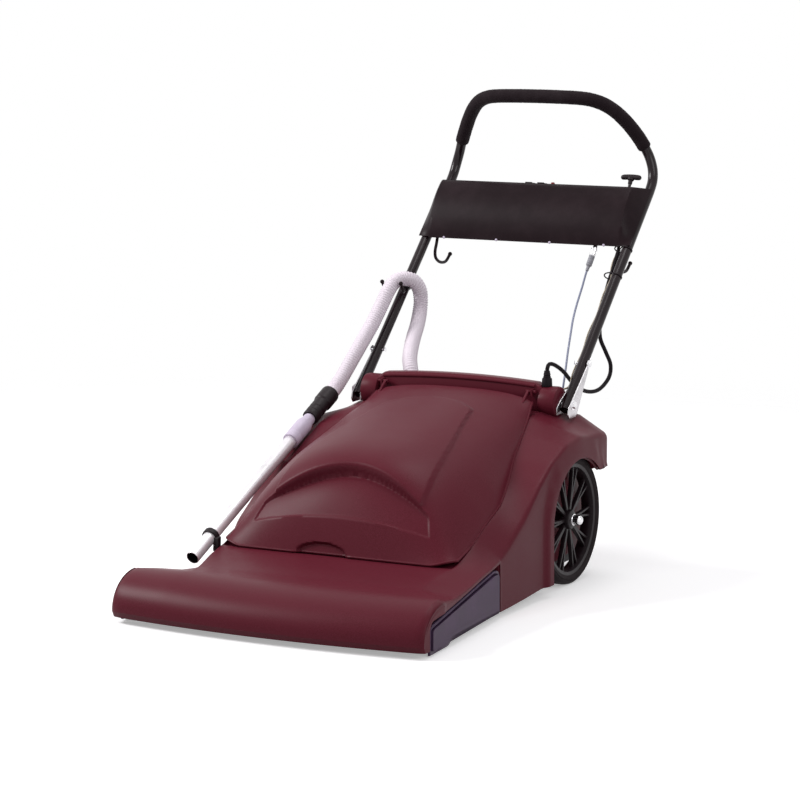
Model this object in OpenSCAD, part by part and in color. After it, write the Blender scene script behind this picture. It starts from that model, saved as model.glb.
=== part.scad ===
// Wide-area upright carpet vacuum.
// Frame: X across the machine, -Y is the nose, +Z up, floor at z = 0,
// y = 0 at the ends of the nose's lower edge.

/* [Nose and deck] */
// Half of the width across the nose
nose_half_w = 400; // [390:1:410]
// Height of the nose's lower lip above the floor
nose_lip_z = 14; // [10:1:20]
// Height of the nose's crest
nose_crest_z = 116; // [114:1:120]
// Distance of the crest behind the lip
nose_crest_y = 104; // [100:1:108]
// How far the nose bows forward at its middle
nose_bow = 30; // [20:1:34]
// Wall of the moulded covers
cover_wall = 4; // [3:0.5:5]

/* [Body] */
// Half of the width over the body's sides
body_half_w = 364; // [360:1:368]
// Y of the body's rear wall
body_rear_y = 1041; // [1035:1:1050]
// Y of the front edge of the wheel arch
arch_front_y = 713; // [705:1:716]
// Radius of the wheel arch
arch_r = 150; // [146:1:152]
// Height of the fender's lower edge behind the wheel
fender_z = 263; // [255:1:270]

/* [Lid] */
// Y of the lid's front edge
lid_front_y = 318; // [314:1:322]
// Y of the lid's rear edge
lid_rear_y = 922; // [916:1:924]
// Height of the lid's front edge
lid_front_z = 136; // [135:1:140]
// Rise of the lid's steep front face
lid_brow = 196; // [180:1:200]
// Further rise from the brow to the rear edge
lid_slope = 115; // [100:1:120]
// Wall of the lid
lid_wall = 4; // [3:0.5:5]
// Y of the lid's hinge axis
hinge_y = 937; // [935:1:939]
// Height of the lid's hinge axis
hinge_z = 446; // [444:1:448]
// Radius of the lid's hinge pins
hinge_pin_r = 4; // [3.5:0.1:5]

/* [Wheels] */
// Radius of the tyre
wheel_r = 157; // [152:1:158]
// Y of the axle
axle_y = 862; // [858:1:866]
// X of the tyre's outer face
wheel_face_x = 352; // [348:1:354]
// Width of the tyre
tyre_w = 42; // [36:1:44]
// Depth of the tyre from tread to rim
tyre_depth = 23; // [18:1:28]
// Radius of the axle
axle_r = 8; // [7:0.5:9]
// Radius of the wheel's hub
hub_r = 24; // [20:1:30]
// Number of spokes in a wheel
spokes = 10; // [6:1:10]
// Width of a spoke
spoke_w = 12; // [8:1:13]
// Radius of the front rollers
roller_r = 24; // [20:1:26]
// Width of a front roller
roller_w = 40; // [30:1:50]
// Y of the front rollers' axle
roller_y = 482; // [480:1:488]
// X of the middle of a front roller
roller_x = 190; // [150:1:230]

/* [Brush deck] */
// Thickness of a side plate
plate_t = 6; // [5:0.5:8]
// How far the side plates stand in from the nose's ends
plate_inset = 2; // [1:0.5:6]
// Taper of the side plates in plan, degrees
plate_taper = 5; // [4.5:0.1:5.5]
// Y of the brush axis
brush_y = 130; // [126:1:134]
// Height of the brush axis
brush_z = 44; // [44:0.5:46]
// Radius over the bristles
brush_r = 43; // [40:0.5:43]
// Radius of the brush core
brush_core_r = 22; // [18:1:26]
// Radius of the brush shaft
brush_shaft_r = 6; // [5:0.5:7]
// From the nose's +X end to the brush
brush_right_in = 64; // [62:1:70]
// From the nose's -X end to the brush
brush_left_in = 34; // [32:1:40]
// Rows of bristles round the brush
brush_rows = 6; // [4:1:8]
// Wall of the brush tunnel
tunnel_wall = 2.5; // [2:0.5:3]
// Gap between the bristles and the tunnel
tunnel_gap = 4; // [3:0.5:5]
// Height of the deck pan
pan_z = 42; // [40:1:44]
// Thickness of sheet steel parts
sheet_t = 3; // [2:0.5:4]
// Y of the deck's pivot
pivot_y = 440; // [436:1:442]
// Height of the deck's pivot
pivot_z = 95; // [90:1:100]
// Radius of the deck's pivot pins
pivot_r = 5; // [4:0.5:6]
// Y of the brush motor's axis
motor_y = 372; // [368:1:376]
// Height of the brush motor's axis
motor_z = 88; // [86:1:90]
// Radius of the brush motor
motor_r = 40; // [36:1:41]
// Pitch radius of the brush pulley
brush_pulley_r = 26; // [24:1:28]
// Pitch radius of the motor pulley
motor_pulley_r = 14; // [12:1:16]
// Thickness of the drive belt
belt_t = 3; // [2:0.5:4]
// Width of the drive belt
belt_w = 11; // [8:1:12]
// From the nose's +X end to the belt's middle
belt_in = 50; // [48:1:52]

/* [Bag bay and suction] */
// Height of the bay's floor
tub_floor_z = 100; // [96:1:104]
// Y of the bay's front wall
tub_front_y = 458; // [458:1:464]
// Y of the bay's rear wall
tub_rear_y = 760; // [740:1:764]
// Half of the bay's width
tub_half_w = 232; // [220:1:234]
// Wall of the bay
tub_wall = 3; // [2:0.5:4]
// Radius of a suction motor
vac_r = 72; // [60:1:74]
// Height of a suction motor
vac_h = 120; // [100:1:130]
// X of a suction motor's axis
vac_x = 115; // [100:1:118]
// Height of the motor deck
motor_deck_z = 184; // [180:1:188]
// Radius of a suction fan
fan_r = 60; // [50:1:60]

/* [Handle] */
// Radius of the handle tube
tube_r = 12.7; // [11:0.1:14]
// Wall of the handle tube
tube_wall = 2; // [1.5:0.1:3]
// X of the handle's side tubes
tube_x = 284; // [282:1:286]
// Lean of the side tubes from the floor, degrees
tube_lean = 44.5; // [44:0.1:45]
// Y where a side tube's axis passes the console's middle
tube_mid_y = 1400; // [1396:1:1404]
// Height there
tube_mid_z = 839; // [836:1:842]
// Length of a side tube from the console's middle down to its foot
tube_len = 622; // [616:1:626]
// Radius of the foam grip
foam_r = 18; // [16:0.5:20]
// Radius of the bosses that carry the handle
boss_r = 40; // [36:1:42]
// Y of the bosses' axis
boss_y = 960; // [956:1:964]
// Height of the bosses' axis
boss_z = 418; // [414:1:422]

/* [Console] */
// Half of the console's width at its front sheet
console_half_w = 268; // [264:1:270]
// How far each end cheek reaches outward
cheek_w = 30; // [26:1:31]
// Thickness of the console's sheet
console_t = 2; // [1.5:0.5:3]
// Travel of the T-handle
t_travel = 37.5; // [30:0.5:38]

/* [Wand] */
// Radius of the wand
wand_r = 16; // [14:0.5:17]
// Wall of the wand
wand_wall = 1.5; // [1:0.1:2]
// X of the wand's axis
wand_x = -332; // [-336:1:-331]
// Radius of the suction hose
hose_r = 19; // [17:0.5:20]

/* [Clearances] */
// Gap between parts that move past each other
part_gap = 3; // [2:0.5:4]
// Radial clearance of a shaft in its hole
shaft_fit = 0.06; // [0.04:0.01:0.1]

/* [Hidden] */
plate_front_x = nose_half_w - plate_inset;
brush_right_x = nose_half_w - brush_right_in;
brush_left_x = brush_left_in - nose_half_w;
belt_x = nose_half_w - belt_in;
$fn = 48;

burgundy = [0.42, 0.165, 0.21];
black = [0.15, 0.10, 0.12];
plum = [0.31, 0.25, 0.33];
zinc = [0.72, 0.71, 0.72];

// ---- helpers ------------------------------------------------------------
// copies the children to +X and -X
module both_sides() {
  children();
  mirror([1, 0, 0]) children();
}

// a cylinder along +X from x0 to x1
module x_rod(x0, x1, y, z, r) {
  translate([x0, y, z]) rotate([0, 90, 0]) cylinder(h = x1 - x0, r = r);
}

// a profile of [y, z] points swept along X from x0 to x1
module x_slab(x0, x1, points) {
  translate([x0, 0, 0]) rotate([90, 0, 90]) linear_extrude(x1 - x0) polygon(points);
}

// hulls a chain of thin slices, one pair at a time
module slice_chain(n) {
  for (i = [0 : n - 2]) hull()
    for (k = [i, i + 1]) let ($slice = k) children();
}

// moves the whole machine so that the middle of its box is at the origin
module place() {
  translate([0, -(bow_back_y - nose_bow) / 2, 0]) children();
}

function unit(v) = v / norm(v);
function tanh(x) = (exp(2 * x) - 1) / (exp(2 * x) + 1);

// direction of a path at point i
function tangent(p, i) =
  unit(p[min(i + 1, len(p) - 1)] - p[max(i - 1, 0)]);

// a point of the smooth curve through p, s from 0 to len(p) - 1
function curve_at(p, s) =
  let (i = min(floor(s), len(p) - 2), t = s - i,
    a = p[max(i - 1, 0)], b = p[i], c = p[i + 1], d = p[min(i + 2, len(p) - 1)])
  0.5 * (2 * b + (c - a) * t + (2 * a - 5 * b + 4 * c - d) * t * t
    + (3 * b - 3 * c + d - a) * t * t * t);
function smooth_path(p, steps) =
  [for (i = [0 : (len(p) - 1) * steps]) curve_at(p, i / steps)];

// frames carried along a path without twist
function next_side(side, t) = unit(side - (side * t) * t);
function side_list(p, i, side) =
  i >= len(p) ? [] : let (s = next_side(side, tangent(p, i)))
    concat([s], side_list(p, i + 1, s));

// a round solid of radius r along path p
module sweep(p, r, sides) {
  start = cross(tangent(p, 0), [0.3, 0.5, 0.81]);
  across = side_list(p, 0, unit(start));
  rings = [for (i = [0 : len(p) - 1])
    let (u = across[i], v = cross(tangent(p, i), u))
      [for (k = [0 : sides - 1])
        let (a = 360 * k / sides) p[i] + r * (cos(a) * u + sin(a) * v)]];
  last = (len(p) - 1) * sides;
  polyhedron(
    points = [for (ring = rings) for (q = ring) q],
    faces = concat(
      [[for (k = [0 : sides - 1]) k]],
      [[for (k = [sides - 1 : -1 : 0]) last + k]],
      [for (i = [0 : len(p) - 2]) for (k = [0 : sides - 1])
        let (a = i * sides + k, b = i * sides + (k + 1) % sides)
          [a, a + sides, b + sides, b]]),
    convexity = 8);
}

// ---- shared outlines ------------------------------------------------------
// body sections: [y, seam half width, seam z, side half width, ridge z, lower z]
body = [
  [451, 303, 184, body_half_w - 2, 126, 14],
  [493, 303, 204, body_half_w - 1, 155, 16],
  [575, 300, 235, body_half_w, 208, 21],
  [658, 280, 279, body_half_w, 276, 27],
  [720, 262, 318, body_half_w + 1, 317, 29],
  [800, 245, 360, body_half_w + 2, 347, 29],
  [880, 226, 394, body_half_w + 2, 356, 29],
  [930, 228, 400, body_half_w + 2, 350, 29],
  [1000, 286, 391, body_half_w + 2, 346, 34],
  [body_rear_y - 10, 292, 383, body_half_w, 341, 44],
  [body_rear_y, 280, 370, body_half_w - 8, 334, 60]];
// deck sections: [y, right seam half width, seam z, side half width, right ridge z,
//   right lower z, left seam half width, left ridge z, left lower z]
deck = [
  [nose_crest_y, nose_half_w - 16, 115, plate_front_x, 108, 85, 244, 110, 84],
  [170, 305, 114, plate_front_x - 6, 103, 93, 268, 98, 86],
  [260, 292, 123, plate_front_x - 14, 112, 105, 294, 77, 69],
  [lid_front_y + 12, 305, 134, (plate_front_x + body_half_w) / 2 - 5, 121, 114, 303, 70, 63],
  [407, 305, 162, 368, 128, 123, 303, 84, 72],
  [450, 303, 184, body_half_w - 2, 134, 127, 303, 106, 76]];

module section_slice(s, inset, lower) {
  w = s[1] - inset * 0.8;
  side = s[3] - inset;
  points = [[-side, lower], [-side, s[4] - inset * 0.6], [-w, s[2] - inset],
    [w, s[2] - inset], [side, s[4] - inset * 0.6], [side, lower]];
  translate([0, s[0], 0]) rotate([90, 0, 0])
    linear_extrude(0.02, center = true) polygon(points);
}

// the deck under the lid and to its right, and the low strip on its left beside the wand
module deck_slice(s, inset, open, strip) {
  w = s[1] - inset * 0.8;
  wl = s[6] - inset * 0.8;
  side = s[3] - inset;
  top = s[2] - inset;
  left = s[7] - inset * 0.7;
  translate([0, s[0], 0]) rotate([90, 0, 0]) linear_extrude(0.02, center = true)
    if (strip) polygon([[-side, open ? -20 : s[8]], [-side, left], [-wl - 14, left + 5],
      [10 - wl, left + 5], [10 - wl, open ? -20 : s[8]]]);
    else polygon([[-wl, open ? -20 : s[8]], [-wl, top], [w, top],
      [side, s[4] - inset * 0.6], [side, open ? -20 : s[5]]]);
}
module deck_solid(inset, open) {
  for (strip = [true, false])
    slice_chain(len(deck)) deck_slice(deck[$slice], inset, open, strip);
}

// seam half width and seam height of the lid at y
seam = [[lid_front_y, 303, lid_front_z], [407, 304, 164.5], [493, 302, 205.5],
  [575, 299, 236.5], [658, 279, 280.5], [720, 261, 319.5], [800, 244, 361.5],
  [880, 224, 397], [lid_rear_y, 212, 424]];
function seam_w(y) = lookup(y, [for (s = seam) [s[0], s[1]]]);
function seam_z(y) = lookup(y, [for (s = seam) [s[0], s[2]]]);
function crown_z(y) =
  let (s = (y - lid_front_y) / (lid_rear_y - lid_front_y))
    lid_front_z + lid_brow * tanh(s / 0.12) + lid_slope * s;

bearing_r = 15;
lean_cos = cos(tube_lean);
lean_sin = sin(tube_lean);
// a point of the side tube's axis, s along it from the console's middle
function tube_at(s) = [tube_mid_y + s * lean_cos, tube_mid_z + s * lean_sin];
// height at y of a plane d in front of the side tubes
function back(y, d) =
  tube_mid_z + (y - tube_mid_y) * tan(tube_lean) + (tube_r + 0.6 + d) / lean_cos;
foot_bolt = tube_at(18 - tube_len);
upper_bolt = tube_at(144 - tube_len);

port_y = 1012;
boot_y = 966;

// handle route, right-hand half, from the console's middle to the crossbar
bow_half = [[tube_x, tube_mid_y, tube_mid_z],
  [tube_x, tube_mid_y + 44 * lean_cos, tube_mid_z + 44 * lean_sin],
  [284, 1458, 897], [283, 1476, 920],
  [279, 1485, 946], [271, 1486, 974], [261, 1479, 1000], [248, 1469, 1026],
  [234, 1457, 1050], [219, 1444, 1072], [200, 1429, 1094], [177, 1413, 1112],
  [150, 1400, 1123], [118, 1392, 1128], [60, 1388, 1130]];
function flip_x(p) = [for (i = [len(p) - 1 : -1 : 0]) [-p[i][0], p[i][1], p[i][2]]];
bow_back_y = 1486 + tube_r;
bow_path = concat(bow_half, [[0, 1387, 1130.5]], flip_x(bow_half));

wand_foot = [wand_x, 243, 113];
wand_head = [wand_x, 893, 408];
wand_axis = unit(wand_head - wand_foot);
wand_tilt = atan2(wand_axis[2], wand_axis[1]);

// routes of the hose and of the free cords, chosen by hand
hose_route = [wand_foot + 718.4 * wand_axis, wand_foot + 746 * wand_axis, [-326, 948, 446],
  [-317, 983, 486], [-309, 1020, 526], [-301, 1060, 568], [-294, 1098, 614],
  [-289, 1123, 646], [-284, 1146, 666], [-273, 1168, 673], [-254, 1190, 667],
  [-244.5, 1207, 645], [-245, 1216, 614], [-242, 1204, 583], [-232, 1172, 556],
  [-218, 1127, 533], [-203, 1084, 510], [-187, 1046, 488], [-171, 1022, 463],
  [-160, 1013, 438], [-158, port_y, 420.3]];
duct_route = [[-158, port_y, 376.5], [-158, 1008, 356], [-150, 988, 338], [-130, 950, 334],
  [-90, 890, 334], [-45, 840, 326], [-14, 800, 302], [0, 778, 288], [0, 763, 285]];
cord_route = [[262, 1316, 757], [262, 1300, 736], [263, 1276, 708], [264, 1252, 682],
  [266, 1228, 652], [268, 1206, 620], [270, 1189, 586], [273, 1185, 550],
  [280, 1203, 514], [285, 1221, 480], [283, 1214, 448], [275, 1172, 424],
  [264, 1122, 426], [253, 1074, 450], [245, 1032, 485], [239, 994, 506],
  [234, 972, 510], [232, boot_y, 496.4]];
cable_route = [[188, 1288, 704], [187, 1278, 688], [186, 1264, 664], [189, 1226, 624],
  [196, 1190, 592], [205, 1158, 562], [218, 1114, 522], [231, 1073, 482],
  [242, 1036, 446], [247, 1018, 414], [248, port_y, 376]];

// ---- body -----------------------------------------------------------------
module nose_slice(x, inset) {
  u = abs(x) / nose_half_w;
  end = sqrt(max(0, 1 - pow(max(0, abs(x) - nose_half_w + 26) / 28, 2)));
  front = -nose_bow * (1 - u * u) + 8 * (1 - end) + inset;
  a = nose_crest_y - front;
  b = nose_crest_z - 28 - inset;
  arc = [for (t = [0 : 10 : 90]) [nose_crest_y - a * cos(t), 28 + b * sin(t)]];
  points = concat([[front + 7, nose_lip_z - inset / 2]], arc,
    [[nose_crest_y + 12, 27 + b], [nose_crest_y + 12, nose_lip_z - inset / 2]]);
  translate([x, 0, 0]) rotate([90, 0, 90]) linear_extrude(0.02, center = true) polygon(points);
}

nose_stations = [-400, -396, -388, -374, -300, -200, -100, 0, 100, 200, 300, 374, 388, 396, 400];
module nose_solid(inset, ends) {
  keep = [for (x = nose_stations) max(-ends, min(ends, x * nose_half_w / 400))];
  slice_chain(len(keep)) nose_slice(keep[$slice], inset);
}

module well_cut(grow) {
  x0 = wheel_face_x - tyre_w - 10 - grow;
  w = 200;
  both_sides() {
    translate([x0, axle_y, wheel_r]) rotate([0, 90, 0]) cylinder(h = w, r = arch_r + grow);
    translate([x0, arch_front_y - grow, -50]) cube([w, 2 * arch_r, wheel_r + 50]);
    translate([x0, axle_y, -50]) cube([w, 400, fender_z + 50 + grow]);
    // the tyre's crown runs up inside the arch
    translate([x0, axle_y, wheel_r]) rotate([0, 90, 0])
      cylinder(h = wheel_face_x + 6 - x0 + grow, r = wheel_r + 8 + grow);
  }
}

// channel in the shoulder under the stowed wand, its collar and its cuff
module wand_channel(grow) {
  along_wand(440) cylinder(h = 310, r = 27 + grow);
}

module upper_housing() {
  color(burgundy) difference() {
    union() {
      difference() {
        slice_chain(len(body)) section_slice(body[$slice], 0, body[$slice][5]);
        well_cut(0);
        wand_channel(0);
      }
      deck_solid(0, false);
      nose_solid(0, nose_half_w);
    }
    // inside of the body, with a wall left round the wheel wells
    difference() {
      slice_chain(len(body) - 1) {
        s = body[$slice];
        section_slice([s[0] + (s[0] < 460 ? cover_wall : 0), s[1], s[2], s[3], s[4], 0],
          cover_wall, -20);
      }
      well_cut(cover_wall);
      wand_channel(cover_wall);
    }
    deck_solid(cover_wall, true);
    nose_solid(cover_wall, nose_half_w - 12);
    // room in the nose's ends for the side plates
    both_sides() x_slab(plate_front_x - 14, nose_half_w + 10, [[33, -20], [33, 60], [41, 75],
      [50, 79], [104, 86], [122, 88], [122, -20]]);
    // opening under the lid
    slice_chain(7) {
      y = [446, 493, 575, 658, 760, 860, 916][$slice];
      z = seam_z(y);
      w = seam_w(y) - 30;
      translate([-w, y, z - 40]) cube([2 * w, 0.02, 90]);
    }
    // passage from the deck into the body
    translate([-332, 440, -20]) cube([664, 30, 140]);
    translate([-312, 421, -20]) cube([20, 40, 130]);
    // seat of the rear bulkhead
    translate([-274, 948, 340]) cube([548, 38, 140]);
    // seats of the bosses and holes of the axle, the control cable and the hose port
    both_sides() x_rod(216, 274, boss_y + 9, boss_z, boss_r + 1);
    both_sides() x_rod(288, 306, axle_y, wheel_r, axle_r + 2);
    translate([248, port_y, 300]) cylinder(h = 200, r = 6);
    translate([-158, port_y, 300]) cylinder(h = 200, r = 24);
  }
}

module rear_bulkhead() {
  half = 222;
  crown = [for (x = [-208 : 32 : 208]) [x, 466 + 8 * (1 - pow(x / 208, 2))]];
  color(burgundy) difference() {
    union() {
      translate([0, 984, 0]) rotate([90, 0, 0]) linear_extrude(34)
        polygon(concat([[-half, 344], [-half, 450]], crown, [[half, 450], [half, 344]]));
      both_sides() x_rod(half - 2, 268, boss_y + 9, boss_z, boss_r);
      translate([-half, 952, motor_deck_z + sheet_t]) cube([2 * half, 4, 170]);
    }
    // pocket behind the bar, passage of the duct and the bolt holes
    translate([-200, 956, 330]) cube([400, 40, 126]);
    sweep([[-150, 1000, 334], [-130, 950, 334], [-110, 920, 334]], 25, 24);
    both_sides() x_rod(240, 300, foot_bolt[0], foot_bolt[1], 5);
  }
}

module base_frame() {
  z = 32;
  color(black) difference() {
    union() {
      translate([-290, 470, z]) cube([580, 540, sheet_t]);
      both_sides() {
        x_slab(284, 290, [[500, z], [500, 70], [800, 90], [axle_y - 34, motor_deck_z],
          [1010, motor_deck_z], [1010, z]]);
        // arms that reach forward to the deck's pivot
        x_slab(307, 311, [[pivot_y - 12, pivot_z - 12], [pivot_y - 12, pivot_z + 9],
          [520, pivot_z + 9], [560, z + sheet_t], [560, z], [480, z]]);
        // ledges that carry the housing
        translate([284, 490, z]) cube([body_half_w - cover_wall - 287, 180, sheet_t]);
      }
    }
    both_sides() {
      x_rod(280, 300, axle_y, wheel_r, axle_r + shaft_fit);
      x_rod(300, 320, pivot_y, pivot_z, pivot_r);
      translate([roller_x - roller_w / 2 - 3, 400, z - 1])
        cube([roller_w + 6, roller_y - 400 + roller_r + 3, sheet_t + 2]);
    }
  }
}

module motor_deck() {
  color(zinc) difference() {
    translate([-290, tub_rear_y, motor_deck_z]) cube([580, 250, sheet_t]);
    both_sides() translate([vac_x, axle_y, motor_deck_z - 1])
      cylinder(h = sheet_t + 2, r = 30);
  }
}

module bag_tub() {
  rim = 6;
  outer = [[tub_front_y, tub_floor_z], [tub_front_y, seam_z(tub_front_y) - 14],
    [575, seam_z(575) - rim - 4], [658, seam_z(658) - rim - 4],
    [tub_rear_y, seam_z(tub_rear_y) - rim - 10], [tub_rear_y, tub_floor_z]];
  color(black) difference() {
    union() {
      x_slab(-tub_half_w, tub_half_w, outer);
      // legs down to the base frame
      for (x = [-120, 80]) translate([x, 560, 32 + sheet_t])
        cube([40, 20, tub_floor_z - 32 - sheet_t]);
    }
    translate([0, 0, tub_wall]) x_slab(-tub_half_w + tub_wall, tub_half_w - tub_wall,
      [[tub_front_y + tub_wall, tub_floor_z], [tub_front_y + tub_wall, 500],
        [tub_rear_y - tub_wall, 500], [tub_rear_y - tub_wall, tub_floor_z]]);
    // port for the suction hose's duct and windows to the motors
    translate([0, tub_rear_y, 285]) rotate([90, 0, 0]) cylinder(h = 40, r = 26, center = true);
    both_sides() translate([vac_x - 40, tub_rear_y - 10, 150]) cube([80, 20, 60]);
  }
}

module dust_bag() {
  color([0.80, 0.76, 0.68]) hull() {
    translate([0, 520, 135]) cube([360, 50, 44], center = true);
    translate([0, 600, 165]) cube([400, 100, 110], center = true);
    translate([0, 690, 221]) cube([380, 70, 218], center = true);
  }
}

module bag_collar() {
  color([0.60, 0.55, 0.46]) translate([0, 725, 285]) rotate([-90, 0, 0]) difference() {
    union() {
      cylinder(h = 4, r = 42);
      cylinder(h = 37, r = 25.9);
    }
    translate([0, 0, -1]) cylinder(h = 40, r = 22);
  }
}

module motor_filter() {
  color([0.35, 0.35, 0.37]) both_sides() translate([vac_x - 44, tub_rear_y - tub_wall - 12, 146])
    cube([88, 12, 68]);
}

module suction_motors() {
  z = motor_deck_z + sheet_t;
  color([0.22, 0.22, 0.24]) both_sides() translate([vac_x, axle_y, z]) difference() {
    union() {
      cylinder(h = 42, r = vac_r);
      translate([0, 0, 42]) cylinder(h = vac_h - 42, r = vac_r - 20);
    }
    // fan chamber and its eye
    translate([0, 0, 3]) cylinder(h = 36, r = vac_r - 4);
    translate([0, 0, -1]) cylinder(h = 6, r = 28);
    // bore of the armature shaft
    translate([0, 0, 38]) cylinder(h = 30, r = 4 + shaft_fit);
  }
}

module suction_fan() {
  z = motor_deck_z + sheet_t;
  color("silver") translate([vac_x, axle_y, z]) {
    difference() {
      union() {
        translate([0, 0, 8]) cylinder(h = 2, r = fan_r);
        translate([0, 0, 28]) cylinder(h = 2, r = fan_r);
        translate([0, 0, 10]) cylinder(h = 18, r = 12);
        for (a = [0 : 45 : 315]) rotate(a) translate([11, -1, 10]) cube([fan_r - 13, 2, 18]);
      }
      translate([0, 0, 7]) cylinder(h = 4, r = 10);
    }
    translate([0, 0, 30]) cylinder(h = 34, r = 4);
  }
}

module suction_fan_left() { mirror([1, 0, 0]) suction_fan(); }
module suction_fan_right() { suction_fan(); }

// pipe from the hose port forward to the bag's collar
module suction_duct() {
  color(black) difference() {
    sweep(smooth_path(duct_route, 2), 22, 12);
    sweep(concat([duct_route[0] + [0, 0, 3]], smooth_path(duct_route, 2),
      [duct_route[8] - [0, 3, 0]]), 19, 12);
  }
}

module rear_axle() {
  color(zinc) x_rod(-(wheel_face_x - 4), wheel_face_x - 4, axle_y, wheel_r, axle_r);
}

module front_roller_brackets() {
  color(zinc) {
    for (s = [-1, 1]) translate([s * roller_x, 0, 0]) {
      difference() {
        for (x = [-roller_w / 2 - 6, roller_w / 2 + 3]) translate([x, roller_y - 12, roller_r - 9])
          cube([3, 40, 32 - roller_r + 9]);
        x_rod(-60, 60, roller_y, roller_r, 4);
      }
      x_rod(-roller_w / 2 - 8, roller_w / 2 + 8, roller_y, roller_r, 4);
    }
  }
}

module front_roller(x) {
  color([0.2, 0.2, 0.2]) difference() {
    x_rod(x - roller_w / 2, x + roller_w / 2, roller_y, roller_r, roller_r);
    x_rod(x - roller_w, x + roller_w, roller_y, roller_r, 4 + shaft_fit);
  }
}
module front_roller_left() { front_roller(-roller_x); }
module front_roller_right() { front_roller(roller_x); }

// ---- wheels ---------------------------------------------------------------
module at_wheel() {
  translate([wheel_face_x, axle_y, wheel_r]) rotate([0, -90, 0]) children();
}

module tyre() {
  color([0.13, 0.12, 0.13]) at_wheel() rotate_extrude($fn = 96) {
    r0 = wheel_r - tyre_depth;
    polygon([[r0, 3], [wheel_r - 8, 0], [wheel_r - 2, 5], [wheel_r, 12],
      [wheel_r, tyre_w - 12], [wheel_r - 2, tyre_w - 5], [wheel_r - 8, tyre_w], [r0, tyre_w - 3]]);
  }
}

module rim() {
  r1 = wheel_r - tyre_depth;
  color(black) at_wheel() difference() {
    union() {
      rotate_extrude($fn = 96) polygon([[r1 - 8, 5], [r1, 3], [r1, tyre_w - 3], [r1 - 8, tyre_w - 5]]);
      translate([0, 0, 1]) cylinder(h = tyre_w - 2, r = hub_r);
      for (k = [0 : spokes - 1]) rotate(k * 360 / spokes)
        translate([hub_r - 3, -spoke_w / 2, 12]) cube([r1 - hub_r - 1, spoke_w, 10]);
    }
    translate([0, 0, -1]) cylinder(h = tyre_w + 2, r = axle_r + shaft_fit);
  }
}

module cap() {
  color("gainsboro") at_wheel() translate([0, 0, -24]) difference() {
    rotate_extrude() polygon([[0, 0], [5, 0.6], [9.5, 3], [12, 8], [12, 21], [14, 22], [14, 24.9],
      [0, 24.9]]);
    translate([0, 0, 20]) cylinder(h = 6, r = axle_r + 0.5);
  }
}

module wheel_right_tyre() { tyre(); }
module wheel_right_rim() { rim(); }
module wheel_right_cap() { cap(); }
module wheel_left_tyre() { mirror([1, 0, 0]) tyre(); }
module wheel_left_rim() { mirror([1, 0, 0]) rim(); }
module wheel_left_cap() { mirror([1, 0, 0]) cap(); }

// ---- lid ------------------------------------------------------------------
lid_rows = 18;
lid_cols = 20;
function lid_y(i) = let (t = i / lid_rows)
  lid_front_y + (lid_rear_y - lid_front_y) * (0.35 * t + 0.65 * t * t);
function lid_point(i, j, wall) =
  let (y0 = lid_y(i), u = 2 * j / lid_cols - 1,
    w = seam_w(y0) - wall,
    z0 = seam_z(y0), h = max(0, crown_z(y0) - z0 - wall),
    y = y0 + wall * (1 - 2 * i / lid_rows) * (i < lid_rows / 2 ? 1 : 1),
    dome = pow(max(0, 1 - pow(abs(u), 2.6)), 0.7))
  [w * sin(90 * u), y, z0 + h * pow(max(0, 1 - pow(abs(sin(90 * u)), 2.6)), 0.7)];

module lid_skin() {
  n = (lid_rows + 1) * (lid_cols + 1);
  outer = [for (i = [0 : lid_rows]) for (j = [0 : lid_cols])
    lid_point(i, j, 0) + [0, 0, i == 0 ? 1 : 0]];
  inner = [for (i = [0 : lid_rows]) for (j = [0 : lid_cols]) lid_point(i, j, lid_wall)];
  row = lid_cols + 1;
  edge = concat([for (j = [0 : lid_cols - 1]) j],
    [for (i = [0 : lid_rows - 1]) i * row + lid_cols],
    [for (j = [lid_cols : -1 : 1]) lid_rows * row + j],
    [for (i = [lid_rows : -1 : 1]) i * row]);
  m = len(edge);
  polyhedron(
    points = concat(outer, inner),
    faces = concat(
      [for (i = [0 : lid_rows - 1]) for (j = [0 : lid_cols - 1])
        let (a = i * row + j) each [[a, a + row, a + row + 1], [a, a + row + 1, a + 1]]],
      [for (i = [0 : lid_rows - 1]) for (j = [0 : lid_cols - 1])
        let (a = n + i * row + j) each [[a, a + row + 1, a + row], [a, a + 1, a + row + 1]]],
      [for (k = [0 : m - 1]) let (a = edge[k], b = edge[(k + 1) % m])
        each [[a, b, n + b], [a, n + b, n + a]]]),
    convexity = 6);
}

module lid() {
  color(burgundy) {
    lid_skin();
    both_sides() difference() {
      x_slab(192, 200, [[lid_rear_y - 26, hinge_z - 30], [lid_rear_y - 26, hinge_z - 2],
        [hinge_y - 4, hinge_z + 8], [hinge_y + 6, hinge_z + 6], [hinge_y + 8, hinge_z - 6],
        [hinge_y - 4, hinge_z - 12]]);
      x_rod(180, 210, hinge_y, hinge_z, hinge_pin_r + shaft_fit);
    }
  }
}

module lid_hinge_pins() {
  color(zinc) both_sides() {
    x_rod(190, 216, hinge_y, hinge_z, hinge_pin_r);
    translate([204, hinge_y - 6, hinge_z - 12]) cube([4, 950 - hinge_y + 6, 18]);
  }
}

module lid_gasket() {
  color([0.1, 0.1, 0.1]) both_sides() slice_chain(6) {
    y = [493, 575, 658, 720, 800, 872][$slice];
    translate([seam_w(y) - 12, y, seam_z(y) - 1.4]) cube([5, 0.02, 1.3]);
  }
}

// ---- brush deck -------------------------------------------------------------
function plate_x(y) = plate_front_x - (y - 37) * tan(plate_taper);

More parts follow.
